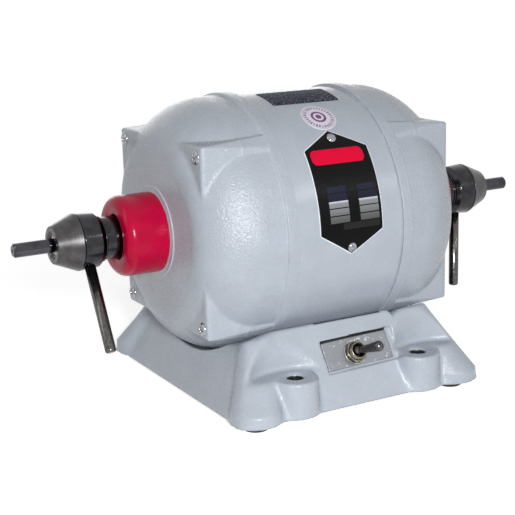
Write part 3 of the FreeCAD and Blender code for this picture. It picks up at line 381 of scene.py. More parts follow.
CARRIED = {
    cover_paint: ["bottom_cover"], black_rubber: ["rubber_feet", "cord_grommet"],
    zinc_sheet: ["foot_screws", "cradle_bolts", "capacitor_clamp"],
    bright_turned: ["spindle_shaft"], pin_steel: [], copper: [], laminated: ["stator_core", "rotor_core"],
    drawn_alloy: ["cooling_fan", "capacitor"], dark_plastic: ["switch_body"], bronze: [],
}
for side_name in ("left", "right"):
    CARRIED[bright_turned] += [f"{n}_{side_name}" for n in ("outer_ring", "inner_ring", "bearing_balls",
                                                            "circlip", "collet")]
    CARRIED[pin_steel].append(f"mandrel_pin_{side_name}")
    CARRIED[copper].append(f"winding_{side_name}")
    CARRIED[bronze].append(f"lever_bush_{side_name}")
for finish_material, names in CARRIED.items():
    for node_name in names:
        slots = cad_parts[node_name].data.materials
        for index in range(max(1, len(slots))):
            if len(slots) <= index:
                slots.append(finish_material)
            slots[index] = finish_material


# Motor band and turned pieces

BAND_HALF_X, BAND_RADIUS, BAND_INSIDE = 40.7, 88.5, 85.5


def motor_band():
    """A short tube with slightly eased ends."""
    line = rounded([(-BAND_HALF_X, BAND_INSIDE), (-BAND_HALF_X, BAND_RADIUS, 0.5),
                    (BAND_HALF_X, BAND_RADIUS, 0.5), (BAND_HALF_X, BAND_INSIDE)], close=True)
    build("motor_shell", [revolve(line, segments=256)], band_enamel, "frame", ["motor_band"])


def cap(side, name):
    """A drum with a rounded rim and a dished face round the shaft hole."""
    line = rounded([(104.3, 22.5), (104.3, 27.6, 0.8), (134.0, 27.6, 7.0), (134.0, 17.4, 1.6),
                    (132.4, 15.2, 0.6), (126.5, 15.2), (126.5, 22.5)], close=True)
    build(f"red_cap_{name}", [revolve(line, side, 192)], red_gloss, "frame", [f"bearing_cap_{name}"])


def chuck(side, name):
    """The chuck's turned parts: rear body and cone nose with its recessed mouth."""
    body = rounded([(120.0, 8.5), (120.0, 14.5, 0.4), (143.3, 14.5, 0.5), (143.5, 15.5, 0.4),
                    (144.5, 15.5, 0.4), (144.5, 10.5, 0.2), (160.7, 10.5), (160.7, 7.1),
                    (138.3, 7.1), (138.3, 8.5)], close=True)
    build(f"chuck_barrel_{name}", [revolve(body, side, 160)], dark_turned, "spindle", [f"chuck_body_{name}"])
    nose = rounded([(160.7, 7.1), (160.7, 19.3, 0.5), (161.6, 19.3, 0.5), (177.3, 12.6, 0.7),
                    (177.3, 9.4, 0.3), (176.1, 8.6, 0.3), (176.1, 7.1, 0.3)], close=True)
    build(f"cone_nose_{name}", [revolve(nose, side, 160)], nose_turned, "spindle", [f"chuck_nose_{name}"])


ROD_X, ROD_END, ROD_RADIUS = 154.8, 77.5, 3.75
LEFT_SWING, RIGHT_SWING = 28.8, 0.0


def swung(points, degrees):
    """Points turned about the spindle line, a positive angle bringing what hangs down to the front."""
    angle = math.radians(degrees)
    moved = points - (0.0, 0.0, SPINDLE)
    y = moved[:, 1] * math.cos(angle) + moved[:, 2] * math.sin(angle)
    z = -moved[:, 1] * math.sin(angle) + moved[:, 2] * math.cos(angle)
    return np.stack([moved[:, 0], y, z + SPINDLE], 1)


def lever(side, name, degrees):
    """The collar ring and its round rod, which hangs radially from it."""
    ring = rounded([(144.8, 12.5), (144.8, 15.6, 0.5), (148.0, 18.4, 1.2), (158.6, 19.1, 0.3),
                    (160.4, 19.2, 0.4), (160.4, 12.5)], close=True)
    build(f"collar_ring_{name}", [revolve(ring, side, 160)], dark_turned, f"lever_{name}",
          [f"lever_collar_{name}"])
    rod = rounded([(ROD_END, 0.0), (ROD_END, ROD_RADIUS, 1.7), (13.5, ROD_RADIUS), (13.5, 0.0)])
    around = circle(40)
    x = side * ROD_X + rod[:, 1][:, None] * np.cos(around)
    y = rod[:, 1][:, None] * np.sin(around)
    z = SPINDLE - np.repeat(rod[:, 0][:, None], 40, 1)
    points = swung(np.stack([x, y, z], -1).reshape(-1, 3), degrees)
    faces = outward(points, faces_of_grid(len(rod), 40, False, True))
    build(f"lever_bar_{name}", [(points, faces)], lever_steel, f"lever_{name}", [f"lever_rod_{name}"])


# End bells, each with four square ears

def smooth_max(first, second, blend):
    """The larger of two heights, eased over the blend where they are alike."""
    share = np.maximum(0.0, 1.0 - np.abs(first - second) / blend)
    return np.maximum(first, second) + blend * share ** 2 / 4


def smooth_min(first, second, blend):
    """The smaller of two heights, eased in the same way."""
    return -smooth_max(-first, -second, blend)


def arc_between(first, last, radius, step):
    """Places along an arc from one place to another that bulges away from the spindle."""
    first, last = np.array(first, float), np.array(last, float)
    chord = last - first
    length = np.linalg.norm(chord)
    across = np.array([-chord[1], chord[0]]) / length
    centre = (first + last) / 2 - across * math.sqrt(radius ** 2 - length ** 2 / 4)
    start = math.atan2(*(first - centre)[::-1])
    end = math.atan2(*(last - centre)[::-1])
    angle = np.linspace(start, end, max(3, int(abs(end - start) * radius / step)))
    return centre + radius * np.stack([np.cos(angle), np.sin(angle)], 1)


def straight(first, last, step):
    """Places along a straight line, about a step apart."""
    first, last = np.array(first, float), np.array(last, float)
    count = max(2, int(np.linalg.norm(last - first) / step) + 1)
    return first + (last - first) * np.linspace(0, 1, count)[:, None]


EAR_HALF, EAR_TAPER, EAR_FACE, EAR_REACH, EAR_START = 64.1, 0.075, 97.5, 90.4, 48.6
SEAM_X, SEAM_RISE, SEAM_WIDTH = 68.0, 0.35, 0.7


def ear_height(x, y, z):
    """How far a place lies outside the ears: a tapering square bar cut by a cylinder and an end face.

    A thin casting seam stands out of it all round, and every edge is eased."""
    half = EAR_HALF + EAR_TAPER * (EAR_FACE - x)
    sides = smooth_max(np.abs(y) - half, np.abs(z) - half, 0.8)
    bar = smooth_max(sides, np.hypot(y, z) - EAR_REACH, 0.8)
    seam = SEAM_RISE * np.exp(-((x - SEAM_X) / SEAM_WIDTH) ** 2)
    return np.maximum(smooth_max(bar - seam, x - EAR_FACE, 2.6), EAR_START - x)


def bell_line():
    """The bell's outline outside its ears, from the joint with the band to the cap's seat."""
    rim = rounded([(40.75, 83.0), (40.75, 88.3, 0.15), (41.25, 88.3, 0.15), (41.25, 90.4, 0.55),
                   (48.9, 90.4, 0.7), (49.8, 88.95, 0.7), (63.9, 88.2)])
    rim = np.concatenate([straight(a, b, 1.3)[:-1] for a, b in zip(rim[:-1], rim[1:])])
    shoulder = arc_between((63.9, 88.2), (94.0, 73.8), 50.0, 0.4)[:-1]
    near_seam = shoulder[:, 0] < SEAM_X + 3.5
    shoulder = np.concatenate([shoulder[near_seam], shoulder[~near_seam][1::3]])
    brow = arc_between((94.0, 73.8), (102.2, 55.4), 28.1, 1.0)[:-1]
    face = straight((102.2, 55.4), (103.4, 33.4), 2.0)[:-1]
    lip = rounded([(103.4, 33.4), (103.5, 32.0, 0.5), (104.3, 31.5, 0.4), (104.3, 22.5)])
    return np.concatenate([rim, shoulder, brow, face, lip])


def ear_columns(count):
    """Angles round the bell, closest together along the ears' corners and widest between the ears."""
    fine = np.linspace(0, 2 * np.pi, 7201)
    away = np.abs(np.degrees(fine) % 90 - 45)
    crowd = np.interp(away, (0, 5.5, 7.5, 31, 35, 45), (5, 5, 2, 2, 0.9, 0.9))
    total = np.concatenate([[0], np.cumsum((crowd[1:] + crowd[:-1]) / 2)])
    return np.interp(np.linspace(0, total[-1], count, endpoint=False), total, fine)


def end_bell(side, name):
    """Rays from inside the shell meet the smooth union of the dome and the ears, found by halving."""
    line = bell_line()
    columns = 560
    around = ear_columns(columns)
    ray = np.where(line[:, :1] > 56.0, line - (55.0, 45.0), (0.0, 1.0))
    ray /= np.linalg.norm(ray, axis=1)[:, None]
    along = np.gradient(line, axis=0)
    normal = np.stack([along[:, 1], -along[:, 0]], 1)
    normal /= np.linalg.norm(normal, axis=1)[:, None]
    facing = np.clip(np.abs((ray * normal).sum(1)), 0.2, 1.0)[:, None]
    low = np.zeros((len(line), columns))
    high = np.full_like(low, 45.0)
    for _ in range(26):
        middle = (low + high) / 2
        x = line[:, :1] + ray[:, :1] * middle
        r = line[:, 1:] + ray[:, 1:] * middle
        height = smooth_min(middle * facing, ear_height(x, r * np.sin(around), r * np.cos(around)), 0.9)
        inside = height < 0
        low = np.where(inside, middle, low)
        high = np.where(inside, high, middle)
    free = (line[:, :1] > EAR_START) & (line[:, 1:] > 45.0)
    reach = np.where(free, low, 0.0)
    x = line[:, :1] + ray[:, :1] * reach
    r = line[:, 1:] + ray[:, 1:] * reach
    hollow = np.array([(124.0, 22.4), (124.0, 20.1), (106.0, 20.1), (106.0, 13.2), (98.5, 13.2), (98.5, 31.5),
                       (97.2, 52.0), (88.0, 71.0), (62.0, 82.5)])
    x = np.concatenate([x, np.repeat(hollow[:, :1], columns, 1)])
    r = np.concatenate([r, np.repeat(hollow[:, 1:], columns, 1)])
    points = np.stack([x * side, r * np.sin(around), SPINDLE + r * np.cos(around)], -1).reshape(-1, 3)
    faces = outward(points, faces_of_grid(len(x), columns, True, True))
    build(f"bell_shell_{name}", [(points, faces)], cast_enamel, "frame", [f"end_bell_{name}"])


# Base casting

BASE_LOW, BASE_RISE = 5.0, 51.5
SIDE_HALF, SIDE_LEAN, FRONT_HALF, FRONT_LEAN = 94.3, 0.4563, 104.5, 0.5845
CORNER_LOW, CORNER_TOP = (79.3, 94.0, 17.0), (62.8, 66.4, 8.0)
PAD_X, PAD_Y, PAD_RADIUS, PAD_RISE, BENCH_HOLE = 49.5, 94.2, 15.5, 25.8, 5.5
SCOOP_X, SCOOP_Y, SCOOP_RADIUS = 56.0, 121.0, 41.5
SWITCH_X, SWITCH_SLOPE, SWITCH_TURN = 3.5, 35.6, math.radians(1.2)
INLET_RADIUS, INLET_SLOPE, INLET_DEEP = 7.6, 22.0, 14.0
COVER_HALF_X, COVER_HALF_Y, COVER_DEEP = 88.3, 98.5, 1.8
EAR_ROOM_X, BAND_ROOM, BELL_ROOM, EAR_ROOM = 39.6, 88.3, 2.5, 1.6
NO_CUT = -50.0
SLOT_LEFT, SLOT_RIGHT, SLOT_BELOW, SLOT_ABOVE, SLOT_DEPTH = 25.0, 33.6, 11.1, 12.1, 2.4
PLATE_LEFT, PLATE_RIGHT, PLATE_BELOW, PLATE_ABOVE = 24.3, 28.8, 9.2, 10.6
SLOPE_UP = 1 / math.hypot(1, FRONT_LEAN)
SLOPE_BACK = FRONT_LEAN / math.hypot(1, FRONT_LEAN)
SLOPE_ORIGIN = np.array([SWITCH_X, -FRONT_HALF + SWITCH_SLOPE * SLOPE_BACK,
                         BASE_LOW + SWITCH_SLOPE * SLOPE_UP])
COS_TURN, SIN_TURN = math.cos(SWITCH_TURN), math.sin(SWITCH_TURN)
SLOPE_AXES = np.array([(COS_TURN, SLOPE_BACK * SIN_TURN, SLOPE_UP * SIN_TURN),
                       (-SIN_TURN, SLOPE_BACK * COS_TURN, SLOPE_UP * COS_TURN),
                       (0, -SLOPE_UP, SLOPE_BACK)])
TOP_PLACES = (-77.0, -69.0, -60.5, -56.0, -48.0, 37.0, 39.0, 41.6, 45.5, 49.5, 59.0, 71.0)
TOP_RISES = (47.2, 48.7, 50.4, 51.3, 51.6, 51.6, 50.8, 47.4, 49.2, 50.5, 50.9, 51.5)
LIP_POINTS = 30
DOME_LINE = bell_line()[:-LIP_POINTS]


# the base's enamel has painted shade inside the bench bolt holes and in the gap above the switch plate
base_enamel_shaded = enamel("base_enamel_shaded", GREY, 0.12, 0.36, (bench_bore_shade, slot_gap_shadow))


def base_height(x, y, z):
    """How far a place lies outside the base casting, in millimetres, and negative inside.

    Four leaning faces, leaning round corners and upright bench pads are joined smoothly. Taken off them
    are the scoops over the pads, the room for the motor and its ears, the bolt holes with their sunk rims,
    the switch's slot, the cord's hole and the recess of the bottom cover."""
    wide, deep, rise = np.abs(x), np.abs(y), z - BASE_LOW
    side = (wide - SIDE_HALF + SIDE_LEAN * rise) / math.hypot(1, SIDE_LEAN)
    slope = (deep - FRONT_HALF + FRONT_LEAN * rise) / math.hypot(1, FRONT_LEAN)
    body = smooth_max(side, slope, 6.0)
    share = np.clip((rise - 8.0) / (BASE_RISE - 8.0), 0, 1)
    corner_x, corner_y, corner_radius = (low + (top - low) * share
                                         for low, top in zip(CORNER_LOW, CORNER_TOP))
    corner = (np.hypot(wide - corner_x, deep - corner_y) - corner_radius) * 0.88
    body = smooth_min(body, corner, 5.0)
    from_bolt = np.hypot(wide - PAD_X, deep - PAD_Y)
    pad = smooth_max(from_bolt - PAD_RADIUS, rise - PAD_RISE, 1.6)
    body = smooth_min(body, pad, 4.0)
    scoop = smooth_max(np.hypot(wide - SCOOP_X, deep - SCOOP_Y) - SCOOP_RADIUS, PAD_RISE - rise, 3.5)
    body = smooth_max(body, -scoop, 3.0)
    top = np.interp(x, TOP_PLACES, TOP_RISES) - 0.33 * np.clip(73.0 - deep, 0, 20)
    body = smooth_max(body, rise - top, 1.6)
    away = np.hypot(y, z - SPINDLE)
    bell_room = np.interp(wide, DOME_LINE[:, 0], DOME_LINE[:, 1]) + BELL_ROOM
    room = np.where(wide < EAR_ROOM_X, BAND_ROOM, bell_room)
    body = smooth_max(body, room - away, 0.8)
    ear_room = EAR_ROOM - ear_height(wide, y, z - SPINDLE)
    body = smooth_max(body, np.where(wide > EAR_ROOM_X, ear_room, NO_CUT), 1.0)
    sunk = BENCH_HOLE + 2.7 * np.clip((rise - PAD_RISE + 1.8) / 1.8, 0, 1) ** 1.5
    body = np.maximum(body, sunk - from_bolt)
    off_origin = (x - SLOPE_ORIGIN[0], y - SLOPE_ORIGIN[1], z - SLOPE_ORIGIN[2])
    across, along, front = (sum(a * b for a, b in zip(off_origin, axis)) for axis in SLOPE_AXES)
    slot = np.maximum.reduce([across - SLOT_RIGHT, -SLOT_LEFT - across, along - SLOT_ABOVE,
                              -SLOT_BELOW - along, -SLOT_DEPTH - front])
    body = smooth_max(body, -slot, 0.45)
    back_along = rise * SLOPE_UP + (FRONT_HALF - deep) * SLOPE_BACK - INLET_SLOPE
    inlet = np.where(y > 0, INLET_RADIUS - np.hypot(x, back_along), NO_CUT)
    body = np.maximum(body, np.minimum(inlet, slope + INLET_DEEP))
    cover = np.maximum.reduce([wide - COVER_HALF_X, deep - COVER_HALF_Y, rise - COVER_DEEP])
    body = np.maximum(body, -cover)
    return smooth_max(body, -rise, 0.8)


def surface_net(height, low, high, step):
    """A skin of four-cornered faces where the height is nought, found on a grid, then settled."""
    axes = [np.arange(a, b + step, step) for a, b in zip(low, high)]
    grid = np.stack(np.meshgrid(*axes, indexing="ij"), -1)
    value = height(grid[..., 0], grid[..., 1], grid[..., 2])
    cells = np.array(value.shape) - 1
    stride = np.array([cells[1] * cells[2], cells[2], 1])
    total = np.zeros((cells.prod(), 3))
    hits = np.zeros(cells.prod())
    faces = []
    for axis in range(3):
        unit, across, beside = np.roll(np.eye(3, dtype=int), axis, 1)
        ends = np.moveaxis(value, axis, 0)
        crossing = np.moveaxis((ends[:-1] < 0) != (ends[1:] < 0), 0, axis)
        spot = np.argwhere(crossing)
        first, second = value[tuple(spot.T)], value[tuple((spot + unit).T)]
        place = grid[tuple(spot.T)] + unit * (step * first / (first - second))[:, None]
        around = [(spot - across * a - beside * b) @ stride for a, b in ((1, 1), (0, 1), (0, 0), (1, 0))]
        for cell in around:
            np.add.at(total, cell, place)
            np.add.at(hits, cell, 1)
        quad = np.stack(around, 1)
        faces.append(np.where((first < 0)[:, None], quad, quad[:, ::-1]))
    used = hits > 0
    number = np.cumsum(used) - 1
    points = total[used] / hits[used][:, None]
    reach = 0.06
    for _ in range(4):
        x, y, z = points.T
        now = height(x, y, z)
        lean = np.stack([height(x + reach, y, z) - height(x - reach, y, z),
                         height(x, y + reach, z) - height(x, y - reach, z),
                         height(x, y, z + reach) - height(x, y, z - reach)], 1) / (2 * reach)
        move = -now[:, None] * lean / np.maximum((lean ** 2).sum(1), 0.2)[:, None]
        points = points + np.clip(move, -step / 2, step / 2)
    return points, number[np.concatenate(faces)]


def base_casting():
    """The casting's skin, with a plain hollow inside it."""
    skin = surface_net(base_height, (-99.0, -114.0, 3.6), (99.0, 114.0, 59.0), 1.25)
    hollow = np.array([(x * wide, y * deep, z) for z, wide, deep in ((9.0, 84.0, 92.0), (22.0, 78.0, 84.0))
                       for x, y in ((-1, -1), (1, -1), (1, 1), (-1, 1))])
    walls = np.array([(0, 1, 2, 3), (7, 6, 5, 4), (0, 4, 5, 1), (1, 5, 6, 2), (2, 6, 7, 3), (3, 7, 4, 0)])
    inside = (hollow, outward(hollow, walls)[:, ::-1])
    build("base_shell", [skin, inside], base_enamel_shaded, "frame", ["base_casting"])


motor_band()
base_casting()
for end_side, end_name, swing in ((1, "right", RIGHT_SWING), (-1, "left", LEFT_SWING)):
    end_bell(end_side, end_name)
    cap(end_side, end_name)
    chuck(end_side, end_name)
    lever(end_side, end_name, swing)


# Small turned and switch pieces

def spun(line, origin, axis, segments=64, close=True):
    """A line of distances along an axis and radii, carried round that axis; a radius may vary round it."""
    axis = np.array(axis, float) / np.linalg.norm(axis)
    aside = np.cross(axis, (0.0, 0.0, 1.0) if abs(axis[2]) < 0.9 else (1.0, 0.0, 0.0))
    aside /= np.linalg.norm(aside)
    across = np.cross(axis, aside)
    turn = circle(segments)[:, None]
    rim = np.cos(turn) * aside + np.sin(turn) * across
    along = np.broadcast_to(line[0][:, None] if line[0].ndim == 1 else line[0], (len(line[0]), segments))
    radius = np.broadcast_to(line[1][:, None] if line[1].ndim == 1 else line[1], (len(line[1]), segments))
    points = np.array(origin) + along[..., None] * axis + radius[..., None] * rim
    points = points.reshape(-1, 3)
    return points, outward(points, faces_of_grid(len(line[0]), segments, close, True))


SCREW_PLACE, SHANK_END = 57.0, -76.0


def bell_screws(side, name):
    """Pan heads with a cross recess in the corners of the ears, each on its shank."""
    radii = np.concatenate([[0.0], np.linspace(0.25, 3.2, 22), [3.7, 4.1, 4.4, 4.6, 4.7, 4.7, 2.5, 2.5, 0.0]])
    crown = 1.9 - 0.35 * (radii[:23] / 3.2) ** 2
    heights = np.concatenate([crown, [1.35, 1.05, 0.7, 0.35, 0.0, -0.8, -0.8, SHANK_END, SHANK_END]])
    segments = 72
    turn = circle(segments)
    arm = np.minimum(np.abs(np.sin(turn)), np.abs(np.cos(turn))) * radii[:, None]
    sunk = np.clip((0.85 - arm) / 0.35, 0, 1) * np.clip((2.9 - radii[:, None]) / 0.35, 0, 1)
    sunk[24:] = 0.0
    along = (heights[:, None] - 1.3 * sunk) * side
    radius = np.repeat(radii[:, None], segments, 1)
    screws = []
    for y, z in ((-1, -1), (1, -1), (1, 1), (-1, 1)):
        origin = (side * EAR_FACE, SCREW_PLACE * y, SPINDLE + SCREW_PLACE * z)
        screws.append(spun((along, radius), origin, (1, 0, 0), segments, False))
    build(f"bell_screw_set_{name}", screws, bright_chrome, "frame", [f"bell_screws_{name}"])


PLATE_THICK, PLATE_TOP, PLATE_HOLE, WASHER_RADIUS = 1.2, -1.2, 6.05, 8.7
NUT_LOW, NUT_TOP, NUT_HALF, NUT_TURN = -0.4, 2.0, 7.15, math.radians(38.0)
BUSHING_RADIUS, THREAD_PITCH, THREAD_DEEP = 5.95, 0.8, 0.32
BAT_PIVOT, BAT_BALL, BAT_TIP, BAT_LENGTH = 2.6, 3.45, 3.7, 22.2
BAT_TILT, BAT_HEADING = math.radians(20.0), math.radians(-26.2)


def on_slope(points):
    """Points given across, up the slope and out of it, about the middle of the switch."""
    return SLOPE_ORIGIN + np.asarray(points, float) @ SLOPE_AXES


def round_switch(line, segments=96):
    """A turned shape about the switch's own line; the second row of radii may vary round it."""
    points, faces = spun(line, (0, 0, 0), (0, 0, 1), segments)
    return on_slope(points), faces


def switch():
    """Washer, chamfered hexagon nut, threaded bushing with its flared mouth, and the bat."""
    washer = rounded([(PLATE_TOP, PLATE_HOLE), (PLATE_TOP, WASHER_RADIUS, 0.15),
                      (NUT_LOW, WASHER_RADIUS, 0.3), (NUT_LOW, PLATE_HOLE)], close=True)
    build("washer_ring", [round_switch(washer.T)], bright_turned, "frame", ["switch_washer"])
    turn = circle(240)
    corner = NUT_HALF / np.cos((turn - NUT_TURN) % (np.pi / 3) - np.pi / 6)
    ring = np.ones_like(turn)
    slope_down = 0.5 * np.maximum(corner - 7.1, 0)
    radius = np.stack([BUSHING_RADIUS * ring, np.minimum(corner, 7.2), corner - 0.05, corner, corner - 0.05,
                       np.minimum(corner, 7.1), 6.4 * ring, BUSHING_RADIUS * ring])
    rise = np.stack([NUT_LOW * ring, NUT_LOW * ring, NUT_LOW + slope_down, NUT_LOW + 0.1 + slope_down,
                     NUT_TOP - slope_down, NUT_TOP * ring, NUT_TOP * ring, NUT_TOP - 0.4 * ring])
    build("nut_body", [round_switch((rise, radius), 240)], nickel, "frame", ["switch_nut"])
    thread = np.arange(-5.0, 4.4, 0.1)
    turns = thread[:, None] / THREAD_PITCH + turn[None, ::2] / (2 * np.pi)
    wave = BUSHING_RADIUS - THREAD_DEEP * np.abs((turns % 1.0) * 2 - 1) * (thread[:, None] > 1.8)
    inside = np.array([(4.65, 5.55), (4.75, 5.3), (4.7, 5.05), (4.0, 4.6), (2.6, 3.7), (-5.0, 3.7)])
    rise = np.repeat(np.concatenate([thread, inside[:, 0]])[:, None], 120, 1)
    radius = np.concatenate([wave, np.repeat(inside[:, 1:], 120, 1)])
    build("threaded_bushing", [round_switch((rise, radius), 120)], nickel, "frame", ["switch_bushing"])
    lean = np.array([math.sin(BAT_TILT) * math.cos(BAT_HEADING),
                     math.sin(BAT_TILT) * math.sin(BAT_HEADING), math.cos(BAT_TILT)])
    ball = arc_between((-BAT_BALL, 0.0), (2.3, 2.57), BAT_BALL, 0.25)
    tip = arc_between((17.7, 3.61), (BAT_LENGTH, 0.0), BAT_TIP, 0.25)
    stem = np.array([(3.2, 2.55), (5.0, 2.6), (9.0, 2.85), (13.0, 3.2), (16.0, 3.48)])
    line = np.concatenate([ball, stem, tip])
    line[0, 1] = line[-1, 1] = 0.0
    points, faces = spun(line.T, (0, 0, BAT_PIVOT), lean, 72, False)
    points = on_slope(points)
    build("bat", [(points, outward(points, faces))], bat_steel, "switch_bat", ["switch_lever"])


switch()
for end_side, end_name in ((1, "right"), (-1, "left")):
    bell_screws(end_side, end_name)


# Labels, rivets and switch plate

LABEL_RADIUS, LABEL_LOW, LABEL_THICK = 88.95, 88.55, 0.4
DATA_ANGLE, DATA_HALF_X, DATA_POINT, DATA_SHOULDER = 70.35, 25, 42.6, 28.9
CELL_START, CELL_PITCH = 106.2, 5.03
ROUND_ANGLE, ROUND_RADIUS, TOP_ANGLE, RIVET_ANGLES = 33.3, 12.8, 13.55, (46.3, 95.7)
TOP_LEFT, TOP_RIGHT, TOP_HALF = 25.5, 27.0, 12.4


def evenly(line, count):
    """A closed line with its points set evenly along it."""
    closed = np.concatenate([line, line[:1]])
    length = np.concatenate([[0], np.cumsum(np.linalg.norm(np.diff(closed, axis=0), axis=1))])
    spots = np.linspace(0, length[-1], count, endpoint=False)
    return np.column_stack([np.interp(spots, length, closed[:, axis]) for axis in (0, 1)])


def sheet(outline, thick, soft, rings, lift, hole=0.0):
    """A closed thin sheet of rings, from a round hole or a middle point out to its eased outline."""
    turn = np.arctan2(outline[:, 1], outline[:, 0])
    inner = hole * np.column_stack([np.cos(turn), np.sin(turn)])
    profile = [(share, thick) for share in np.linspace(0, 1 - soft, rings)]
    profile += [(1 - soft * 0.35, thick * 0.9), (1.0, thick * 0.65), (1.0, 0.0)]
    profile += [(share, 0.0) for share in np.linspace(1 - soft, 0, rings // 2)]
    rows = [np.column_stack([inner + share * (outline - inner), np.full(len(outline), height)])
            for share, height in profile]
    points = lift(np.concatenate(rows))
    return points, outward(points, faces_of_grid(len(rows), len(outline), hole > 0, True))


def round_motor(degrees, low):
    """A way to bend a flat sheet round the motor at an angle from the top, its underside at a radius."""
    angle = math.radians(degrees)
    straight_out = np.array([0, -math.sin(angle), math.cos(angle)])
    onward = np.array([0, -math.cos(angle), -math.sin(angle)])

    def lift(points):
        out = np.sqrt((low + points[:, 2]) ** 2 - points[:, 1] ** 2)
        bent = points[:, :1] * np.array([1.0, 0, 0]) + out[:, None] * straight_out + points[:, 1:2] * onward
        return bent + np.array([0, 0, SPINDLE])

    return lift


def label_place(finish):
    """Distances along the motor and round it on the labels' face, in millimetres."""
    across = finish.math("MULTIPLY", finish.axis("X"), 1000.0)
    forward = finish.math("MULTIPLY", finish.axis("Y"), -1000.0)
    upward = finish.math("MULTIPLY_ADD", finish.axis("Z"), 1000.0, -SPINDLE)
    return across, finish.math("MULTIPLY", finish.math("ARCTAN2", forward, upward), LABEL_RADIUS)


def band_mask(finish, value, middle, half, soft=0.12):
    """One where a value lies within a half width of a middle, and nothing elsewhere."""
    away = finish.math("ABSOLUTE", finish.math("SUBTRACT", value, middle))
    return finish.between(away, half - soft, half + soft, 1.0, 0.0)


def length_of(finish, first, second):
    """The length of a line with two given legs."""
    squares = finish.math("MULTIPLY_ADD", first, first, finish.math("MULTIPLY", second, second))
    return finish.math("SQRT", squares)


def bar_mask(finish, across, around, middle, half, corner):
    """One inside a bar with round corners."""
    legs = []
    for value, centre, reach in zip((across, around), middle, half):
        away = finish.math("ABSOLUTE", finish.math("SUBTRACT", value, centre))
        legs.append(finish.math("MAXIMUM", finish.math("SUBTRACT", away, reach - corner), 0.0))
    return finish.between(length_of(finish, *legs), corner - 0.12, corner + 0.12, 1.0, 0.0)


def plate_print_and_reflection():
    """Black plate with a bright edge line, a bare red bar and two columns of bare cells whose tones are
    painted reflection.
    """
    finish = Finish("plate_print_and_reflection", rgb(6, 6, 8), 0.0, 0.3, specular_ior_level=0.1)
    across, around = label_place(finish)
    bar = bar_mask(finish, across, around, (-0.8, 85.7), (20.4, 5.5), 4.0)
    rows = finish.math("PINGPONG", finish.math("SUBTRACT", around, CELL_START), CELL_PITCH / 2)
    lines = finish.between(rows, 0.22, 0.5)
    last = finish.between(around, CELL_START + 5 * CELL_PITCH - 0.1, CELL_START + 5 * CELL_PITCH + 0.1)
    pair = finish.math("MAXIMUM", band_mask(finish, across, -8.7, 7.5), band_mask(finish, across, 14.8, 7.5))
    wide = band_mask(finish, across, 8.0, 14.3)
    columns = finish.math("ADD", finish.math("MULTIPLY", pair, finish.math("SUBTRACT", 1.0, last)),
                          finish.math("MULTIPLY", wide, last))
    field = band_mask(finish, around, CELL_START + 3 * CELL_PITCH, 3 * CELL_PITCH)
    cells = finish.math("MULTIPLY", finish.math("MULTIPLY", lines, columns), field)
    middle = finish.math("SUBTRACT", around, math.radians(DATA_ANGLE) * LABEL_RADIUS)
    planar = finish.math("SINE", finish.math("DIVIDE", middle, LABEL_RADIUS))
    planar = finish.math("MULTIPLY", planar, LABEL_RADIUS)
    side_gap = finish.math("SUBTRACT", finish.math("ABSOLUTE", across), DATA_HALF_X)
    drop = DATA_POINT - DATA_SHOULDER
    length = math.hypot(DATA_HALF_X, drop)
    slant = finish.math("MULTIPLY", finish.math("ABSOLUTE", planar), DATA_HALF_X / length)
    slant = finish.math("MULTIPLY_ADD", finish.math("ABSOLUTE", across), drop / length, slant)
    slant_gap = finish.math("SUBTRACT", slant, DATA_POINT * DATA_HALF_X / length)
    edge = finish.between(finish.math("MAXIMUM", side_gap, slant_gap), -0.75, -0.55)
    # painted reflection in the cells: the two upper rows dark, a bright line across the third row, then grey
    # that fades darker downwards
    tone = finish.between(around, CELL_START + 1.9 * CELL_PITCH, CELL_START + 2.1 * CELL_PITCH)
    gleam = finish.between(around, CELL_START + 2.1 * CELL_PITCH, CELL_START + 2.45 * CELL_PITCH)
    wear_and_reflection_fade = finish.blend(finish.between(around, CELL_START + 2.5 * CELL_PITCH, CELL_START + 5 * CELL_PITCH),
                        rgb(132, 134, 136), rgb(84, 86, 84))
    pale = finish.blend(gleam, rgb(196, 198, 216), wear_and_reflection_fade)
    cell_color = finish.blend(tone, rgb(26, 27, 44), pale)
    cell_color = finish.blend(last, cell_color, rgb(34, 34, 33))
    color = finish.blend(bar, rgb(6, 6, 8), rgb(218, 10, 54))
    color = finish.blend(cells, color, cell_color)
    finish.color(finish.blend(edge, color, rgb(226, 230, 236)))
    scuff = finish.noise(700.0, 3.0, 0.6)
    finish.rough(finish.between(scuff, 0.3, 0.7, 0.26, 0.42))
    finish.bump((finish.math("MAXIMUM", cells, bar), 0.03), (scuff, 0.012))
    return finish.material


def round_print():
    """A pale disc with a thin ring, a ring of short ticks, a thicker ring and a dot."""
    finish = Finish("round_print", rgb(206, 202, 216), 0.0, 0.34, specular_ior_level=0.4)
    across, around = label_place(finish)
    down = finish.math("SUBTRACT", around, math.radians(ROUND_ANGLE) * LABEL_RADIUS)
    away = length_of(finish, across, down)
    turn = finish.math("MULTIPLY", finish.math("ARCTAN2", down, across), 30.0)
    ticks = finish.between(finish.math("SINE", turn), -0.5, 0.2)
    ticks = finish.math("MULTIPLY", ticks, band_mask(finish, away, 9.7, 1.15))
    wear_and_reflection_fade = finish.between(finish.noise(520.0, 2.0, 0.6), 0.35, 0.6, 0.35, 1.0)
    ticks = finish.math("MULTIPLY", ticks, wear_and_reflection_fade)
    thin = finish.math("MULTIPLY", band_mask(finish, away, 11.6, 0.2), 0.4)
    ring = band_mask(finish, away, 4.7, 0.85)
    dot = band_mask(finish, away, 0.0, 2.1)
    ink = finish.math("MAXIMUM", finish.math("MAXIMUM", ticks, thin), finish.math("MAXIMUM", ring, dot))
    finish.color(finish.blend(ink, rgb(214, 210, 224), rgb(104, 50, 104)))
    grain = finish.noise(900.0, 2.0, 0.5)
    finish.rough(finish.between(grain, 0.3, 0.7, 0.28, 0.42))
    finish.bump((grain, 0.01))
    return finish.material


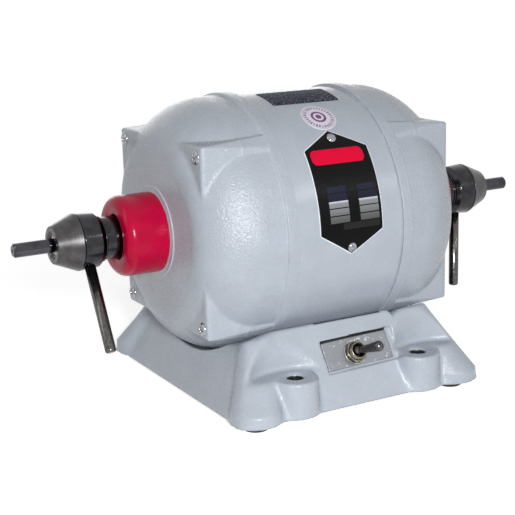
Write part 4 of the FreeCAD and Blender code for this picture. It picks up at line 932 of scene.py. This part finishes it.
def top_print():
    """Near-black sheet with a fine blue and grey glitter."""
    finish = Finish("top_print", rgb(14, 14, 20), 0.0, 0.5, specular_ior_level=0.06)
    specks = finish.noise(800.0, 2.0, 0.6)
    blots = finish.noise(420.0, 2.0, 0.6)
    dark = finish.blend(finish.between(blots, 0.35, 0.65), rgb(10, 10, 15), rgb(34, 35, 56))
    finish.color(finish.blend(finish.between(specks, 0.5, 0.66), dark, rgb(122, 124, 142)))
    finish.rough(finish.between(specks, 0.3, 0.7, 0.45, 0.6))
    finish.bump((specks, 0.03))
    return finish.material


def labels():
    """The data plate with its drive rivets, the round label and the top label, bent round the motor."""
    hexagon = [(0, DATA_POINT, 3.0), (DATA_HALF_X, DATA_SHOULDER, 2.2), (DATA_HALF_X, -DATA_SHOULDER, 2.2),
               (0, -DATA_POINT, 3.0), (-DATA_HALF_X, -DATA_SHOULDER, 2.2), (-DATA_HALF_X, DATA_SHOULDER, 2.2)]
    outline = evenly(rounded(hexagon, close=True), 300)
    plate = sheet(outline, LABEL_THICK, 0.006, 40, round_motor(DATA_ANGLE, LABEL_LOW))
    build("data_plate_sheet", [plate], plate_print_and_reflection(), "frame", ["data_plate"])
    turn = circle(144)
    outline = ROUND_RADIUS * np.column_stack([np.cos(turn), np.sin(turn)])
    disc = sheet(outline, LABEL_THICK, 0.015, 24, round_motor(ROUND_ANGLE, LABEL_LOW))
    build("round_label_disc", [disc], round_print(), "frame", ["round_label"])
    block = [(-TOP_LEFT, -TOP_HALF, 1.0), (TOP_RIGHT, -TOP_HALF, 1.0),
             (TOP_RIGHT, TOP_HALF, 1.0), (-TOP_LEFT, TOP_HALF, 1.0)]
    outline = evenly(rounded(block, close=True), 240)
    top = sheet(outline, LABEL_THICK, 0.01, 30, round_motor(TOP_ANGLE, LABEL_LOW))
    build("top_label_sheet", [top], top_print(), "frame", ["top_label"])
    head = np.array([(0.0, 1.25), (0.5, 1.22), (0.9, 1.05), (1.3, 0.85), (1.7, 0.9), (2.1, 1.1),
                     (2.5, 1.15), (2.9, 1.0), (3.2, 0.7), (3.38, 0.35), (3.4, 0.0), (1.7, 0.0), (0.0, 0.0)])
    rivets = []
    for degrees in RIVET_ANGLES:
        out = np.array([0, -math.sin(math.radians(degrees)), math.cos(math.radians(degrees))])
        seat = out * LABEL_RADIUS + (0, 0, SPINDLE)
        rivets.append(spun((head[:, 1], head[:, 0]), seat, out, 72, False))
    build("drive_rivets", rivets, bright_chrome, "frame", ["plate_rivets"])


def switch_plate():
    """The sheet under the switch in its slot, with eased edges and a hole for the bushing."""
    corners = [(-PLATE_LEFT, -PLATE_BELOW, 0.8), (PLATE_RIGHT, -PLATE_BELOW, 0.8),
               (PLATE_RIGHT, PLATE_ABOVE, 0.8), (-PLATE_LEFT, PLATE_ABOVE, 0.8)]

    def lift(points):
        return on_slope(points + np.array([0, 0, -SLOT_DEPTH]))

    plate = sheet(evenly(rounded(corners, close=True), 240), PLATE_THICK, 0.012, 24, lift, PLATE_HOLE)
    build("slot_plate", [plate], worn_zinc, "frame", ["switch_plate"])


labels()
switch_plate()


# Studio

def seen_directly(tree):
    """One for rays that come from the camera, from a mirror or through glass, nought for scattered light."""
    total = 0.0
    for ray in ("Is Camera Ray", "Is Glossy Ray", "Is Transmission Ray"):
        seen = add_node(tree, "LightPath", {}, ray)
        total = add_node(tree, "Math", {0: seen, 1: total}, 0, operation="MAXIMUM")
    return total


def studio_floor():
    """A floor that keeps the shadow near the object and fades to plain white away from it."""
    size = 6.0
    mesh = bpy.data.meshes.new("studio_floor")
    corners = [(-size, -size, 0), (size, -size, 0), (size, size, 0), (-size, size, 0)]
    mesh.from_pydata(corners, [], [(0, 1, 2, 3)])
    floor = bpy.data.objects.new("studio_floor", mesh)
    bpy.context.scene.collection.objects.link(floor)
    finish = Finish("studio_floor", (0.9, 0.9, 0.9), 0.0, 0.8, specular_ior_level=0.1)
    finish.set("Emission Color", (1, 1, 1))
    tree = finish.tree
    seen = seen_directly(tree)
    tree.links.new(finish.math("MULTIPLY", seen, FLOOR_LIFT), finish.shader.inputs["Emission Strength"])
    length = add_node(tree, "VectorMath", {0: finish.place}, "Value", operation="LENGTH")
    white = add_node(tree, "Emission", {"Strength": seen}, 0)
    inputs = {0: finish.between(length, FADE_NEAR, FADE_FAR), 1: finish.shader.outputs[0], 2: white}
    mix = add_node(tree, "MixShader", inputs, 0)
    tree.links.new(mix, tree.nodes["Material Output"].inputs["Surface"])
    mesh.materials.append(finish.material)


def white_world():
    """Dim light all round, and plain white where the background is seen directly."""
    world = bpy.data.worlds.new("studio")
    world.use_nodes = True
    bpy.context.scene.world = world
    tree = world.node_tree
    dim = tree.nodes["Background"]
    dim.inputs["Color"].default_value = (0.95, 0.97, 1.0, 1)
    dim.inputs["Strength"].default_value = WORLD_LEVEL
    white = add_node(tree, "Background", {"Color": (1, 1, 1, 1), "Strength": 1.0}, 0)
    mix = add_node(tree, "MixShader", {0: seen_directly(tree), 1: dim.outputs[0], 2: white}, 0)
    tree.links.new(mix, tree.nodes["World Output"].inputs["Surface"])


def lamp(name, azimuth, elevation, distance, power, width, height):
    """A lamp that faces the object from an azimuth and elevation, in degrees."""
    light = bpy.data.lights.new(name, "AREA")
    light.shape = "RECTANGLE"
    light.size, light.size_y = width, height
    light.energy = power
    item = bpy.data.objects.new(name, light)
    bpy.context.scene.collection.objects.link(item)
    turn, rise = math.radians(azimuth), math.radians(elevation)
    away = Vector((math.sin(turn) * math.cos(rise), -math.cos(turn) * math.cos(rise), math.sin(rise)))
    item.location = away * distance + Vector((0, 0, SPINDLE * MM))
    item.rotation_euler = away.to_track_quat("Z", "Y").to_euler()


FLOOR_LIFT, WORLD_LEVEL = 0.72, 0.06
FADE_NEAR, FADE_FAR = 0.22, 0.6
studio_floor()
white_world()
lamp("flash", -23.0, 14.0, 1.15, 12.4, 0.16, 0.16)
lamp("front_lamp", 31.0, 24.0, 1.5, 1.2, 0.12, 0.12)
lamp("left_window", -95.0, 35.0, 1.3, 1.8, 0.3, 0.9)
lamp("rear_window", 165.0, 14.0, 1.6, 3.0, 1.2, 0.6)
bpy.context.scene.view_settings.view_transform = "Standard"
